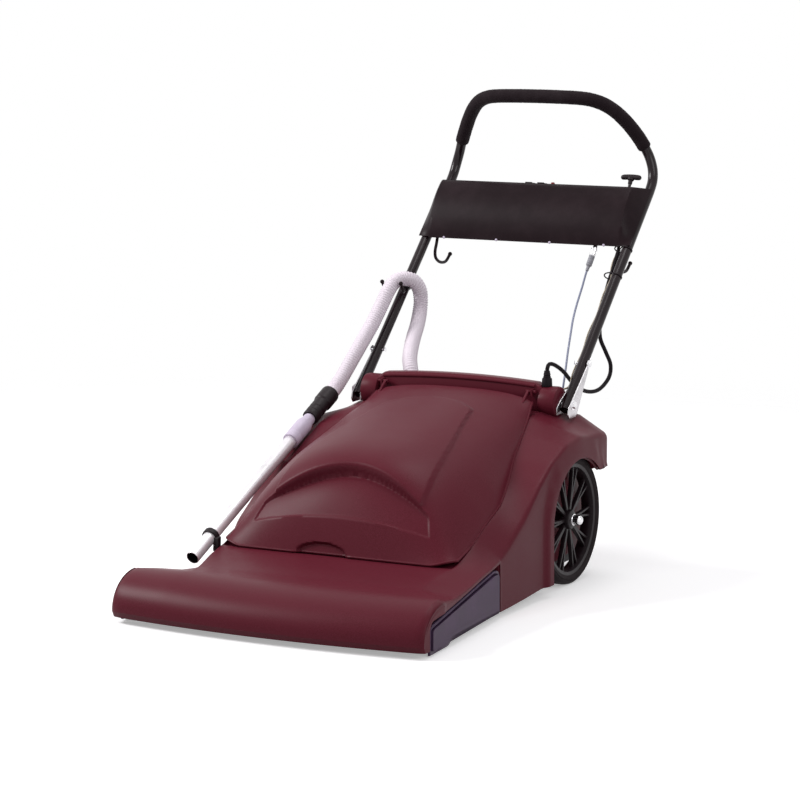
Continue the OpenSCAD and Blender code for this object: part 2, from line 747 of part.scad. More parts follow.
module side_plates() {
  right = [[37, 3], [37, 54], [41, 62], [50, 68], [410, 116], [432, 115], [443, 110],
    [447, 102], [447, 12], [176, 14], [158, 11], [146, 5], [138, 3]];
  left = [[37, 3], [37, 54], [41, 62], [50, 68], [110, 74], [170, 76], [260, 60],
    [330, 54], [440, 54], [447, 48], [447, 12], [176, 14], [158, 11], [146, 5], [138, 3]];
  color(plum) for (side = [1, -1]) mirror([side > 0 ? 0 : 1, 0, 0])
    translate([plate_front_x, 37, 0]) rotate([0, 0, plate_taper])
      translate([-plate_t, -37, 0]) x_slab(0, plate_t, side > 0 ? right : left);
}

module deck_pan() {
  r = brush_r + tunnel_gap;
  left = 50 - nose_half_w;
  color(black) difference() {
    union() {
      x_rod(left - 26, brush_right_x + 5, brush_y, brush_z, r + tunnel_wall);
      translate([left, brush_y + 40, pan_z]) cube([brush_right_x + 5 - left, 270, sheet_t]);
      // ledges that carry the side plates
      translate([brush_right_x, 192, pan_z + 8])
        cube([plate_x(212) - plate_t - 0.3 - brush_right_x, 20, sheet_t]);
      translate([brush_right_x, 192, pan_z]) cube([5, 20, 8 + sheet_t]);
      translate([brush_right_x, 408, pan_z])
        cube([plate_x(440) - plate_t - 0.3 - brush_right_x, 32, sheet_t]);
      translate([-(plate_x(212) - plate_t - 0.3), 192, pan_z]) cube([60, 20, sheet_t]);
      translate([-(plate_x(440) - plate_t - 0.3), 408, pan_z]) cube([60, 32, sheet_t]);
      // pivot lugs
      both_sides() x_slab(300, 306, [[pivot_y - 30, pan_z], [pivot_y - 13, pivot_z + 6],
        [pivot_y, pivot_z + 13], [pivot_y + 12, pivot_z + 6], [pivot_y + 12, pivot_z - 8],
        [pivot_y, pan_z]]);
    }
    x_rod(left - 23, brush_right_x + 2, brush_y, brush_z, r);
    x_rod(left - 40, brush_right_x + 20, brush_y, brush_z, bearing_r + 2);
    translate([left - 60, brush_y - 60, -20]) cube([900, 120, 44]);
    both_sides() x_rod(290, 320, pivot_y, pivot_z, pivot_r + shaft_fit);
  }
}

module deck_pivot_pins() {
  color(zinc) both_sides() x_rod(297, 313, pivot_y, pivot_z, pivot_r);
}

module brush_bearings() {
  color([0.3, 0.3, 0.32]) difference() {
    union() {
      x_rod(belt_x + belt_w / 2 + 4, plate_x(brush_y) - plate_t - 2.8, brush_y, brush_z, bearing_r);
      x_rod(-plate_x(brush_y) + plate_t + 2.8, brush_left_x - 5, brush_y, brush_z, bearing_r);
    }
    x_rod(-400, 400, brush_y, brush_z, brush_shaft_r + shaft_fit);
  }
}

module brush_core() {
  color([0.55, 0.50, 0.42]) {
    x_rod(brush_left_x, brush_right_x, brush_y, brush_z, brush_core_r);
    x_rod(-plate_x(brush_y) + plate_t + 3, plate_x(brush_y) - plate_t - 3,
      brush_y, brush_z, brush_shaft_r);
  }
}

module brush_bristles() {
  len = brush_right_x - brush_left_x - 12;
  color([0.12, 0.12, 0.13]) translate([brush_left_x + 6, brush_y, brush_z])
    for (k = [0 : brush_rows - 1]) rotate([k * 360 / brush_rows + 30, 0, 0])
      translate([0, -3, brush_core_r - 0.3]) cube([len, 6, brush_r - brush_core_r + 0.2]);
}

module pulley(y, z, r, bore) {
  color([0.25, 0.25, 0.27]) difference() {
    union() {
      x_rod(belt_x - belt_w / 2 - 0.5, belt_x + belt_w / 2 + 0.5, y, z, r - 0.35);
      x_rod(belt_x - belt_w / 2 - 2.5, belt_x - belt_w / 2 - 0.5, y, z, r + 3);
      x_rod(belt_x + belt_w / 2 + 0.5, belt_x + belt_w / 2 + 2.5, y, z, r + 3);
    }
    x_rod(belt_x - 20, belt_x + 20, y, z, bore);
  }
}

module brush_pulley() { pulley(brush_y, brush_z, brush_pulley_r, brush_shaft_r); }

module motor_pulley() {
  pulley(motor_y, motor_z, motor_pulley_r, 4);
  color(zinc) x_rod(290, belt_x + 7, motor_y, motor_z, 4);
}

module brush_motor() {
  color([0.22, 0.22, 0.24]) difference() {
    union() {
      x_rod(90, 300, motor_y, motor_z, motor_r);
      x_rod(300, 316, motor_y, motor_z, 16);
      translate([120, motor_y - 34, pan_z + sheet_t]) cube([150, 68, 20]);
    }
    x_rod(280, 330, motor_y, motor_z, 4 + shaft_fit);
  }
}

module drive_belt() {
  color([0.08, 0.08, 0.08]) difference() {
    hull() {
      x_rod(belt_x - belt_w / 2, belt_x + belt_w / 2, brush_y, brush_z, brush_pulley_r + belt_t);
      x_rod(belt_x - belt_w / 2, belt_x + belt_w / 2, motor_y, motor_z, motor_pulley_r + belt_t);
    }
    hull() {
      x_rod(belt_x - belt_w, belt_x + belt_w, brush_y, brush_z, brush_pulley_r);
      x_rod(belt_x - belt_w, belt_x + belt_w, motor_y, motor_z, motor_pulley_r);
    }
  }
}

// ---- handle -----------------------------------------------------------------
// puts +Z along a side tube, with its origin at the console's middle
module along_tube() {
  translate([tube_x, tube_mid_y, tube_mid_z]) rotate([tube_lean - 90, 0, 0]) children();
}

module handle_tube() {
  color(black) difference() {
    along_tube() translate([0, 0, -tube_len]) difference() {
      cylinder(h = tube_len, r = tube_r);
      translate([0, 0, -1]) cylinder(h = tube_len + 2, r = tube_r - tube_wall);
    }
    x_rod(260, 310, foot_bolt[0], foot_bolt[1], 4.95);
    x_rod(260, 310, upper_bolt[0], upper_bolt[1], 3.55);
  }
}
module handle_tube_left() { mirror([1, 0, 0]) handle_tube(); }
module handle_tube_right() { handle_tube(); }

module handle_bow() {
  color(black) sweep(bow_path, tube_r, 12);
}

module foam_grip() {
  first = 6;
  path = [for (i = [first : len(bow_path) - 1 - first]) bow_path[i]];
  color([0.11, 0.10, 0.11]) difference() {
    sweep(path, foam_r, 12);
    sweep(bow_path, tube_r + 0.05, 12);
  }
}

module handle_gussets() {
  x = tube_x + tube_r + 0.1;
  color(zinc) both_sides() difference() {
    union() {
      x_slab(x, x + sheet_t, [[1078, 520], [1062, 508], [950, 412], [944, 394],
        [952, 384], [986, 384], [996, 394]]);
      x_slab(268, 271.2, [[1000, 446], [962, 426], [940, 410], [940, 392], [986, 392]]);
    }
    x_rod(260, 310, foot_bolt[0], foot_bolt[1], 5);
    x_rod(260, 310, upper_bolt[0], upper_bolt[1], 3.6);
  }
}

module handle_bolts() {
  head = tube_x + tube_r + 0.1 + sheet_t;
  color("silver") both_sides() {
    x_rod(244, head + 2, foot_bolt[0], foot_bolt[1], 4.9);
    x_rod(head, head + 6, foot_bolt[0], foot_bolt[1], 8);
    x_rod(tube_x - tube_r - 5, head + 2, upper_bolt[0], upper_bolt[1], 3.5);
    x_rod(head, head + 4, upper_bolt[0], upper_bolt[1], 6);
    x_rod(tube_x - tube_r - 5, tube_x - tube_r, upper_bolt[0], upper_bolt[1], 6);
  }
}

// ---- console ----------------------------------------------------------------
// outline in [y, z]: foot, front bulge, brow and rear lip, then back inside the sheet
console_front = [[1307, back(1307, 2)], [1309, 790], [1317, 820], [1332, 852], [1353, 882],
  [1377, 904.5], [1388, 909]];
console_ribbon = concat(console_front, [[1462, 897.5], [1461.6, 895.4], [1388.5, 906.9],
  [1378.5, 902.6], [1354.6, 880.6], [1333.9, 851], [1319, 819.2], [1311, 789.8],
  [1309.3, back(1309.3, 2)]]);
console_cheek = concat(console_front, [[1440.6, 900.9]]);
switch_y = 1412;
switch_z = 903;

// puts +Z along the T-handle's travel
module along_t() {
  translate([245, 1416, 905]) rotate([-27, 0, 0]) children();
}

module console_shell() {
  half = console_half_w;
  color(black) difference() {
    union() {
      x_slab(-half, half, console_ribbon);
      // bevelled end cheeks
      both_sides() hull() {
        x_slab(half - 0.02, half, console_cheek);
        x_slab(half + cheek_w - 0.02, half + cheek_w, [[1309, back(1309, 2)],
          [1307, back(1307, 2) + 3], [1434, back(1434, 2) + 3], [1438, back(1438, 2)]]);
      }
      // tray under the switches
      translate([-58, 1390, 884]) cube([116, 32, 2]);
      for (x = [-58, 54]) x_slab(x, x + 4, [[1390, 884], [1390, 907.5], [1422, 902.5], [1422, 884]]);
    }
    along_t() cylinder(h = 60, r = 7, center = true);
    // window of the switches
    translate([-46, switch_y - 16, 890]) cube([92, 32, 30]);
  }
}

module console_back() {
  color(black) difference() {
    x_slab(-console_half_w - 2, console_half_w + 2, [[1307, back(1307, 0)],
      [1307, back(1307, 2)], [1438, back(1438, 2)], [1438, back(1438, 0)]]);
    at_gland() cylinder(h = 30, r = 5, center = true);
  }
}

module rocker(x) {
  color([0.08, 0.08, 0.09]) {
    x_slab(x - 10, x + 10, [[switch_y - 12, switch_z + 8.5],
      [switch_y, switch_z + 5], [switch_y + 12, switch_z + 4], [switch_y + 12, switch_z - 5],
      [switch_y - 12, switch_z - 5]]);
    // the pins it rocks on
    x_rod(x - 12, x + 12, switch_y, switch_z - 2, 2);
  }
}
module vacuum_switch() { rocker(-30); }
module brush_switch() { rocker(4); }
module breaker_button() {
  color([0.5, 0.08, 0.08]) translate([34, switch_y, switch_z - 5]) cylinder(h = 13, r = 5);
}

// puts +Z along the mains cord's way out of the console
module at_gland() {
  translate([-120, 1385, back(1385, 0)]) rotate([tube_lean - 180, 0, 0]) children();
}

module mains_gland() {
  color([0.1, 0.1, 0.1]) at_gland() difference() {
    union() {
      cylinder(h = 4, r = 12, $fn = 6);
      translate([0, 0, 4]) cylinder(h = 16, r = 8);
    }
    translate([0, 0, -1]) cylinder(h = 30, r = 5);
  }
}

module t_handle() {
  color([0.12, 0.10, 0.11]) along_t() {
    translate([0, 0, 9]) cylinder(h = 13, r1 = 5, r2 = 7);
    hull() for (x = [-22, 22]) translate([x, 0, 27]) sphere(r = 6, $fn = 20);
    translate([0, 0, 20]) cylinder(h = 6, r = 8);
  }
  color("silver") along_t() translate([0, 0, -45]) cylinder(h = 56, r = 4);
}

module cable_fitting() {
  foot = cable_route[0];
  lean = unit([198, 1324, 770] - foot);
  color("silver") {
    sweep([foot, foot + lean * 14], 4.5, 12);
    sweep([foot + lean * 12, foot + lean * 50], 7.5, 16);
    sweep([foot + lean * 48, foot + lean * 74], 6, 16);
  }
}

module control_cable() {
  color([0.55, 0.58, 0.68]) sweep(smooth_path(cable_route, 3), 2.7, 8);
}

module cord_hook() {
  sweep(smooth_path([[256, 1324.6, back(1324, 0) - 0.6], [256, 1332, back(1324, 0) - 8.2],
    [256, 1326, 752], [256, 1317, 730], [256, 1321, 712],
    [256, 1345, 699], [256, 1376, 698], [256, 1400, 714]], 2), 4, 10);
}
module cord_hooks() {
  color(black) both_sides() cord_hook();
}

// one prong of the hose hook, with a round end; x is the prong's own side
module hook_prong(x) {
  out = x > tube_x;
  path = out ? [[285, 1201.5, 667.3], [299, 1190, 655], [x, 1168, 648], [x, 1146, 652], [x, 1134, 665]]
    : [[285, 1201.5, 667.3], [277, 1186, 651], [265, 1162, 641], [x, 1142, 645], [x, 1132, 663]];
  sweep(smooth_path(path, 2), 3.5, 8);
  translate([x, path[4][1] - 0.5, path[4][2] + 2]) sphere(r = 5.5, $fn = 24);
}

module hose_hook() {
  color(black) mirror([1, 0, 0]) {
    along_tube() translate([0, 0, -273]) difference() {
      cylinder(h = 22, r = tube_r + 2.4);
      translate([0, 0, -1]) cylinder(h = 24, r = tube_r + 0.05);
    }
    hook_prong(257);
    hook_prong(312);
  }
}

module interconnect_cord() {
  color([0.08, 0.07, 0.08]) sweep(smooth_path(cord_route, 4), 5, 8);
}

module cord_boot() {
  color([0.08, 0.07, 0.08]) translate([232, boot_y, boss_z + boss_r]) {
    cylinder(h = 20, r = 12);
    translate([0, 0, 20]) cylinder(h = 18, r1 = 9, r2 = 6.5);
  }
}

// ---- wand and hose ------------------------------------------------------------
module along_wand(s) {
  translate(wand_foot) rotate([wand_tilt - 90, 0, 0]) translate([0, 0, s]) children();
}

module wand() {
  color([0.82, 0.78, 0.80]) along_wand(0) difference() {
    cylinder(h = 505, r = wand_r);
    translate([0, 0, -1]) cylinder(h = 507, r = wand_r - wand_wall);
  }
}

module wand_collar() {
  color([0.62, 0.60, 0.64]) along_wand(0) difference() {
    union() {
      translate([0, 0, 500]) cylinder(h = 72, r = 20.5);
      translate([0, 0, 572]) cylinder(h = 12, r1 = 20.5, r2 = 16);
      translate([0, 0, 584]) cylinder(h = 40, r = 14);
    }
    translate([0, 0, 499]) cylinder(h = 6, r = wand_r);
    translate([0, 0, 504]) cylinder(h = 121, r = 12.5);
  }
}

module wand_clip() {
  color(black) {
    along_wand(84) difference() {
      cylinder(h = 12, r = wand_r + 4);
      translate([0, 0, -1]) cylinder(h = 14, r = wand_r);
    }
    translate([-315.7, 312, 116]) cube([9.7, 12, 34]);
  }
}

module hose_cuff() {
  color([0.16, 0.13, 0.16]) along_wand(0) difference() {
    union() {
      translate([0, 0, 606]) cylinder(h = 66, r = 20);
      translate([0, 0, 672]) cylinder(h = 46, r = 23);
    }
    translate([0, 0, 605]) cylinder(h = 19, r = 14);
    translate([0, 0, 620]) cylinder(h = 100, r = 12.5);
  }
}

module suction_hose() {
  color([0.90, 0.86, 0.90]) sweep(smooth_path(hose_route, 3), hose_r, 12);
}

module hose_port() {
  color(black) translate([-158, port_y, 0]) difference() {
    union() {
      translate([0, 0, 397]) cylinder(h = 5, r = 26);
      translate([0, 0, 380]) cylinder(h = 40, r = 22.5);
    }
    translate([0, 0, 379]) cylinder(h = 60, r = 17);
  }
}

// ---- assembly -------------------------------------------------------------------
place() upper_housing();
place() rear_bulkhead();
place() base_frame();
place() motor_deck();
place() bag_tub();
place() dust_bag();
place() bag_collar();
place() motor_filter();
place() suction_motors();
place() suction_fan_left();
place() suction_fan_right();
place() suction_duct();
place() rear_axle();
place() front_roller_brackets();
place() front_roller_left();
place() front_roller_right();
place() wheel_left_tyre();
place() wheel_left_rim();
place() wheel_left_cap();
place() wheel_right_tyre();
place() wheel_right_rim();
place() wheel_right_cap();
place() lid();
place() lid_gasket();
place() lid_hinge_pins();
place() deck_pan();
place() side_plates();
place() deck_pivot_pins();
place() brush_bearings();
place() brush_core();
place() brush_bristles();
place() brush_pulley();
place() brush_motor();
place() motor_pulley();
place() drive_belt();
place() handle_tube_left();
place() handle_tube_right();
place() handle_bow();
place() foam_grip();
place() handle_gussets();
place() handle_bolts();
place() console_shell();
place() console_back();
place() vacuum_switch();
place() brush_switch();
place() breaker_button();
place() mains_gland();
place() t_handle();
place() cable_fitting();
place() control_cable();
place() cord_hooks();
place() hose_hook();
place() interconnect_cord();
place() cord_boot();
place() wand();
place() wand_collar();
place() wand_clip();
place() hose_cuff();
place() suction_hose();
place() hose_port();
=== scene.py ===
import bpy, bmesh, math, random
import numpy as np
from mathutils import Vector, Matrix


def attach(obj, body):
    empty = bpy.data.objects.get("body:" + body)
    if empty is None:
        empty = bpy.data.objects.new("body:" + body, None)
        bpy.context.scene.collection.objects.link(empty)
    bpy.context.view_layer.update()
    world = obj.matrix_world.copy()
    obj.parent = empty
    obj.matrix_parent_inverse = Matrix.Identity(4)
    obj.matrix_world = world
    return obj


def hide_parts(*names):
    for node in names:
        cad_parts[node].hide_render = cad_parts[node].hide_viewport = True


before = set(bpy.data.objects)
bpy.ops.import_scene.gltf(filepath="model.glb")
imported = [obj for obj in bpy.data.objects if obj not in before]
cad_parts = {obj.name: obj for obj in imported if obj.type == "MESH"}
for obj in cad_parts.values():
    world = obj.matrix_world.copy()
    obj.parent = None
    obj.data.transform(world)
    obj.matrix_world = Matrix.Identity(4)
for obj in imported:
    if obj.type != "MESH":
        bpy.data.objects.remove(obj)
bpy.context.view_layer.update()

# ---------------------------------------------------------------- frame
# Lengths below are millimetres from the ends of the nose's lower edge.
MID_Y = 734.35


def at(p):
    return Vector((p[0], p[1] - MID_Y, p[2])) / 1000


def lerp(a, b, t):
    return a + (b - a) * t


def ramp(t, a=0.0, b=1.0):
    t = min(1.0, max(0.0, (t - a) / (b - a)))
    return t * t * (3 - 2 * t)


# ---------------------------------------------------------------- camera
def make_camera():
    az, el, roll = math.radians(28.35), math.radians(8.82), math.radians(-0.24)
    target = at((83, 458, 475))
    back = Vector((math.sin(az) * math.cos(el), -math.cos(az) * math.cos(el), math.sin(el)))
    right = Vector((math.cos(az), math.sin(az), 0))
    up = back.cross(right)
    across = right * math.cos(roll) + up * math.sin(roll)
    above = up * math.cos(roll) - right * math.sin(roll)
    data = bpy.data.cameras.new("camera")
    data.sensor_width = 36
    data.lens = 139.37
    data.shift_x, data.shift_y = 0.0084, 0.0043
    data.clip_end = 60
    cam = bpy.data.objects.new("camera", data)
    spin = Matrix((across, above, back)).transposed().to_4x4()
    cam.matrix_world = Matrix.Translation(target + back * 7.124) @ spin
    bpy.context.scene.collection.objects.link(cam)
    bpy.context.scene.camera = cam


make_camera()


# ---------------------------------------------------------------- finishes
class Val:
    """A shader value. Arithmetic on it adds Math nodes."""

    def __init__(self, finish, socket):
        self.finish, self.socket = finish, socket

    def _math(self, operation, *values):
        n = self.finish.node("Math", {"operation": operation}, values)
        return n(0)

    def __add__(self, o): return self._math("ADD", self, o)
    def __radd__(self, o): return self._math("ADD", o, self)
    def __sub__(self, o): return self._math("SUBTRACT", self, o)
    def __rsub__(self, o): return self._math("SUBTRACT", o, self)
    def __mul__(self, o): return self._math("MULTIPLY", self, o)
    def __rmul__(self, o): return self._math("MULTIPLY", o, self)
    def __truediv__(self, o): return self._math("DIVIDE", self, o)
    def __rtruediv__(self, o): return self._math("DIVIDE", o, self)
    def __pow__(self, o): return self._math("POWER", self, o)
    def sin(self): return self._math("SINE", self)
    def min(self, o): return self._math("MINIMUM", self, o)

    def span(self, low, high, to_low=0.0, to_high=1.0):
        """Smoothly maps low..high to to_low..to_high, and holds the ends."""
        return self.finish.node("MapRange", {"interpolation_type": "SMOOTHSTEP"},
                                {"Value": self, "From Min": low, "From Max": high,
                                 "To Min": to_low, "To Max": to_high})(0)


class Finish:
    """One material: a Principled shader and the nodes that feed it."""

    def __init__(self, name, **constants):
        self.material = bpy.data.materials.new(name)
        self.material.use_nodes = True
        self.tree = self.material.node_tree
        self.shader = self.tree.nodes["Principled BSDF"]
        self.place = self.node("TexCoord")("Object")
        for key, value in constants.items():
            self.set(key.replace("_", " "), value)

    def node(self, kind, settings=None, sockets=()):
        """Adds a node; settings come first, then the values or links of its sockets."""
        n = self.tree.nodes.new("ShaderNode" + kind)
        for key, value in (settings or {}).items():
            if key == "stops":
                ramp_stops = n.color_ramp.elements
                for i, (position, colour) in enumerate(value):
                    stop = ramp_stops[i] if i < 2 else ramp_stops.new(position)
                    stop.position, stop.color = position, (*colour, 1)
            else:
                setattr(n, key, value)
        pairs = sockets.items() if isinstance(sockets, dict) else enumerate(sockets)
        for key, value in pairs:
            self.link(n.inputs[key], value)
        return lambda out: Val(self, n.outputs[out])

    def link(self, socket, value):
        if isinstance(value, Val):
            self.tree.links.new(value.socket, socket)
        elif isinstance(value, (tuple, list)) and len(socket.default_value) == 4:
            socket.default_value = (*value[:3], 1)
        else:
            socket.default_value = value

    def set(self, name, value):
        name = {"Base": "Base Color", "Coat": "Coat Weight"}.get(name, name)
        self.link(self.shader.inputs[name], value)

    def noise(self, scale, detail=2.0, roughness=0.5, stretch=None):
        where = self.place
        if stretch:
            where = self.node("Mapping", {}, {"Vector": where, "Scale": stretch})(0)
        return self.node("TexNoise", {}, {"Vector": where, "Scale": scale, "Detail": detail,
                                          "Roughness": roughness})(0)

    def cells(self, scale, feature="F1", out="Distance"):
        return self.node("TexVoronoi", {"feature": feature},
                         {"Vector": self.place, "Scale": scale})(out)

    def axes(self):
        n = self.node("SeparateXYZ", {}, {"Vector": self.place})
        return n("X"), n("Y"), n("Z")

    def mix(self, factor, a, b):
        """Colour a where factor is 0, b where it is 1."""
        return self.node("Mix", {"data_type": "RGBA"}, {0: factor, 6: a, 7: b})(2)

    def bump(self, height, distance, strength=1.0):
        self.set("Normal", self.node("Bump", {}, {"Height": height, "Distance": distance,
                                                  "Strength": strength})(0))
        return self


finishes = {}


def finish(name):
    if name not in finishes:
        finishes[name] = FINISH_MAKERS[name](name).material
    return finishes[name]


def moulded(colour, light, dark, rough, grain, coat=0.0, depth=0.00012, gloss=0.2):
    """Moulded plastic: a mottled colour, a fine pebble grain and uneven gloss."""
    def make(name):
        f = Finish(name, Coat=coat, Coat_Roughness=0.32, Specular_IOR_Level=gloss)
        fine = f.noise(grain, 3.0, 0.6)
        broad = f.noise(9.0, 3.0, 0.55)
        tint = f.mix(fine.span(0.35, 0.68), dark, light)
        f.set("Base Color", f.mix(broad.span(0.25, 0.75, 0.25, 0.75), tint, colour))
        f.set("Roughness", rough + (fine - 0.5) * 0.22 + (broad - 0.5) * 0.10)
        return f.bump(fine * 0.8 + f.cells(grain * 0.8) * 0.4, depth)
    return make


def painted(colour, rough, speck=0.10, coat=0.2):
    """Sprayed paint on metal, with fine orange peel and dust in the gloss."""
    def make(name):
        f = Finish(name, Coat=coat, Coat_Roughness=0.2, Specular_IOR_Level=0.1)
        peel = f.noise(420.0, 2.0)
        broad = f.noise(14.0, 4.0, 0.6)
        paler = tuple(min(1.0, c * 1.7 + 0.006) for c in colour)
        f.set("Base Color", f.mix(broad.span(0.35, 0.8, 0.0, 0.6), colour, paler))
        f.set("Roughness", rough + (broad - 0.5) * speck + (peel - 0.5) * 0.08)
        return f.bump(peel, 0.00004)
    return make


def plated(colour, rough, stretch=(1, 1, 1), scale=90.0, wear=0.10, metallic=1.0):
    """Plated or bright metal with fine drawn lines and a little tarnish."""
    def make(name):
        f = Finish(name, Metallic=metallic)
        lines = f.noise(scale, 4.0, 0.7, stretch)
        blotch = f.noise(22.0, 4.0, 0.6)
        dull = tuple(c * 0.62 for c in colour)
        f.set("Base Color", f.mix(blotch.span(0.45, 0.85, 0.0, 0.7), colour, dull))
        f.set("Roughness", rough + (lines - 0.5) * 0.18 + (blotch - 0.5) * wear)
        return f.bump(lines, 0.00003)
    return make


def soft(colour, rough, scale=700.0, depth=0.0002, pale=1.6):
    """Rubber or foam: matt, finely pitted, slightly dusty."""
    def make(name):
        f = Finish(name, Specular_IOR_Level=0.1)
        pits = f.cells(scale)
        dust = f.noise(18.0, 5.0, 0.65)
        paler = tuple(min(1.0, c * pale + 0.01) for c in colour)
        f.set("Base Color", f.mix(dust.span(0.4, 0.8, 0.0, 0.8), colour, paler))
        f.set("Roughness", rough + (dust - 0.5) * 0.15)
        return f.bump(pits, depth)
    return make


def woven(colour, dark, scale=900.0):
    """Filter paper or pad: crossing fibres."""
    def make(name):
        f = Finish(name, Roughness=0.9)
        x, _, z = f.axes()
        weave = ((x * scale).sin() * (z * scale).sin()).span(-1, 1)
        fibre = f.noise(260.0, 4.0, 0.7)
        f.set("Base Color", f.mix((weave + fibre) * 0.5, dark, colour))
        return f.bump(weave * 0.5 + fibre, 0.0003)
    return make


FINISH_MAKERS = {
    "burgundy_shell": moulded((0.104, 0.0115, 0.022), (0.128, 0.018, 0.033),
                              (0.082, 0.008, 0.014), 0.38, 520.0, 0.0, gloss=0.10),
    "black_satin": painted((0.011, 0.0045, 0.0065), 0.38, 0.10, 0.0),
    "black_gloss": painted((0.010, 0.004, 0.006), 0.2, 0.06, 0.35),
    "black_moulded": moulded((0.010, 0.005, 0.007), (0.018, 0.010, 0.013),
                             (0.006, 0.003, 0.004), 0.5, 700.0, 0.05),
    "plum_plate": painted((0.058, 0.031, 0.066), 0.42, 0.16, 0.05),
    "zinc_sheet": plated((0.62, 0.60, 0.62), 0.30, (1, 1, 9)),
    "bright_plate": plated((0.86, 0.85, 0.87), 0.12, (1, 1, 1), 60.0, 0.06),
    "tube_metal": plated((0.95, 0.92, 0.95), 0.30, (12, 1, 12), 120.0, metallic=0.45),
    "tyre_rubber": soft((0.009, 0.005, 0.006), 0.66, 500.0),
    "soft_rubber": soft((0.009, 0.006, 0.008), 0.55, 900.0, 0.0001),
    "foam_sleeve": soft((0.010, 0.005, 0.007), 0.7, 1100.0, 0.0004),
    "wheel_moulded": moulded((0.009, 0.004, 0.006), (0.015, 0.008, 0.011),
                             (0.006, 0.003, 0.004), 0.40, 600.0, 0.05),
    "grey_moulded": moulded((0.64, 0.56, 0.69), (0.72, 0.64, 0.77),
                            (0.54, 0.47, 0.59), 0.42, 500.0, 0.1),
    "pale_hose": moulded((0.84, 0.76, 0.83), (0.89, 0.82, 0.88),
                         (0.78, 0.70, 0.77), 0.50, 380.0, 0.0),
    "paper": woven((0.62, 0.56, 0.44), (0.50, 0.44, 0.34)),
    "filter_pad": woven((0.12, 0.12, 0.13), (0.06, 0.06, 0.07), 1500.0),
    "card": woven((0.34, 0.28, 0.20), (0.26, 0.21, 0.15), 500.0),
    "motor_case": painted((0.035, 0.035, 0.040), 0.38),
    "fan_alloy": plated((0.78, 0.78, 0.79), 0.3, (1, 1, 1), 140.0),
    "brush_core": moulded((0.25, 0.21, 0.16), (0.32, 0.27, 0.21), (0.18, 0.15, 0.11),
                          0.5, 300.0),
    "bristle": soft((0.013, 0.013, 0.016), 0.5, 2500.0, 0.0003),
    "reset_red": moulded((0.22, 0.006, 0.006), (0.28, 0.012, 0.012), (0.16, 0.004, 0.004),
                         0.3, 300.0, 0.3),
    "cable_sleeve": moulded((0.27, 0.29, 0.40), (0.34, 0.36, 0.47), (0.20, 0.22, 0.32),
                            0.35, 600.0, 0.2),
    "beige_wire": moulded((0.52, 0.44, 0.33), (0.60, 0.52, 0.40), (0.44, 0.36, 0.26),
                          0.4, 600.0, 0.1),
    "grey_wire": moulded((0.30, 0.30, 0.33), (0.38, 0.38, 0.41), (0.24, 0.24, 0.27),
                         0.4, 600.0, 0.1),
    # painted shade: near-black finish for the sleeve that darkens the inside of the wand's mouth
    "dark_inside": painted((0.006, 0.004, 0.005), 0.8, 0.1, 0.0),
}


# ---------------------------------------------------------------- piece helpers
def dress(obj, look, body, *nodes, smooth=35.0):
    """Gives a piece its finish, the body it rides on and the CAD nodes it stands for."""
    obj.data.materials.clear()
    obj.data.materials.append(finish(look))
    if obj.type == "MESH":
        obj.data.shade_smooth()
        if smooth < 180:
            obj.data.set_sharp_from_angle(angle=math.radians(smooth))
    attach(obj, body)
    if nodes:
        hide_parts(*nodes)
    return obj


def piece(name, points, faces):
    """A mesh object from points in millimetres."""
    mesh = bpy.data.meshes.new(name)
    mesh.from_pydata([at(p) for p in points], [], faces)
    mesh.validate()
    obj = bpy.data.objects.new(name, mesh)
    bpy.context.scene.collection.objects.link(obj)
    return obj


def grid(name, rows, loop_rows=False, loop_cols=False, caps=False):
    """A skin over rows of points. Caps close the first and last rows."""
    n, m = len(rows), len(rows[0])
    points = [p for row in rows for p in row]
    faces = []
    for i in range(n if loop_rows else n - 1):
        for j in range(m if loop_cols else m - 1):
            a, b = i * m + j, i * m + (j + 1) % m
            c, d = ((i + 1) % n) * m + (j + 1) % m, ((i + 1) % n) * m + j
            faces.append((a, b, c, d))
    if caps:
        faces.append(tuple(reversed(range(m))))
        faces.append(tuple(range((n - 1) * m, n * m)))
    obj = piece(name, points, faces)
    outward(obj)
    return obj


def outward(obj):
    bm = bmesh.new()
    bm.from_mesh(obj.data)
    bmesh.ops.recalc_face_normals(bm, faces=bm.faces)
    bm.to_mesh(obj.data)
    bm.free()


def facing(obj, axis, sign=1):
    """Turns the skin over if most of it doesn't face along the axis."""
    if sum(getattr(f.normal, axis) for f in obj.data.polygons) * sign < 0:
        obj.data.flip_normals()
    return obj


def modify(obj, kind, **settings):
    """Adds one modifier and applies it."""
    m = obj.modifiers.new(kind.lower(), kind)
    for key, value in settings.items():
        setattr(m, key, value)
    bpy.context.view_layer.update()
    evaluated = obj.evaluated_get(bpy.context.evaluated_depsgraph_get())
    mesh = bpy.data.meshes.new_from_object(evaluated)
    obj.modifiers.clear()
    old = obj.data
    obj.data = mesh
    bpy.data.meshes.remove(old)
    return obj


def bevel(obj, width, segments=2, angle=30.0):
    return modify(obj, "BEVEL", width=width / 1000, segments=segments, limit_method="ANGLE",
                  angle_limit=math.radians(angle), miter_outer="MITER_ARC",
                  use_clamp_overlap=True)


def carve(obj, *cutters, operation="DIFFERENCE"):
    for c in cutters:
        modify(obj, "BOOLEAN", object=c, operation=operation, solver="EXACT")
        bpy.data.objects.remove(c)
    return obj


def join(name, *objs):
    """One object made of several, all in the row frame."""
    bm = bmesh.new()
    for o in objs:
        o.data.transform(o.matrix_world)
        bm.from_mesh(o.data)
        bpy.data.objects.remove(o)
    mesh = bpy.data.meshes.new(name)
    bm.to_mesh(mesh)
    bm.free()
    obj = bpy.data.objects.new(name, mesh)
    bpy.context.scene.collection.objects.link(obj)
    return obj


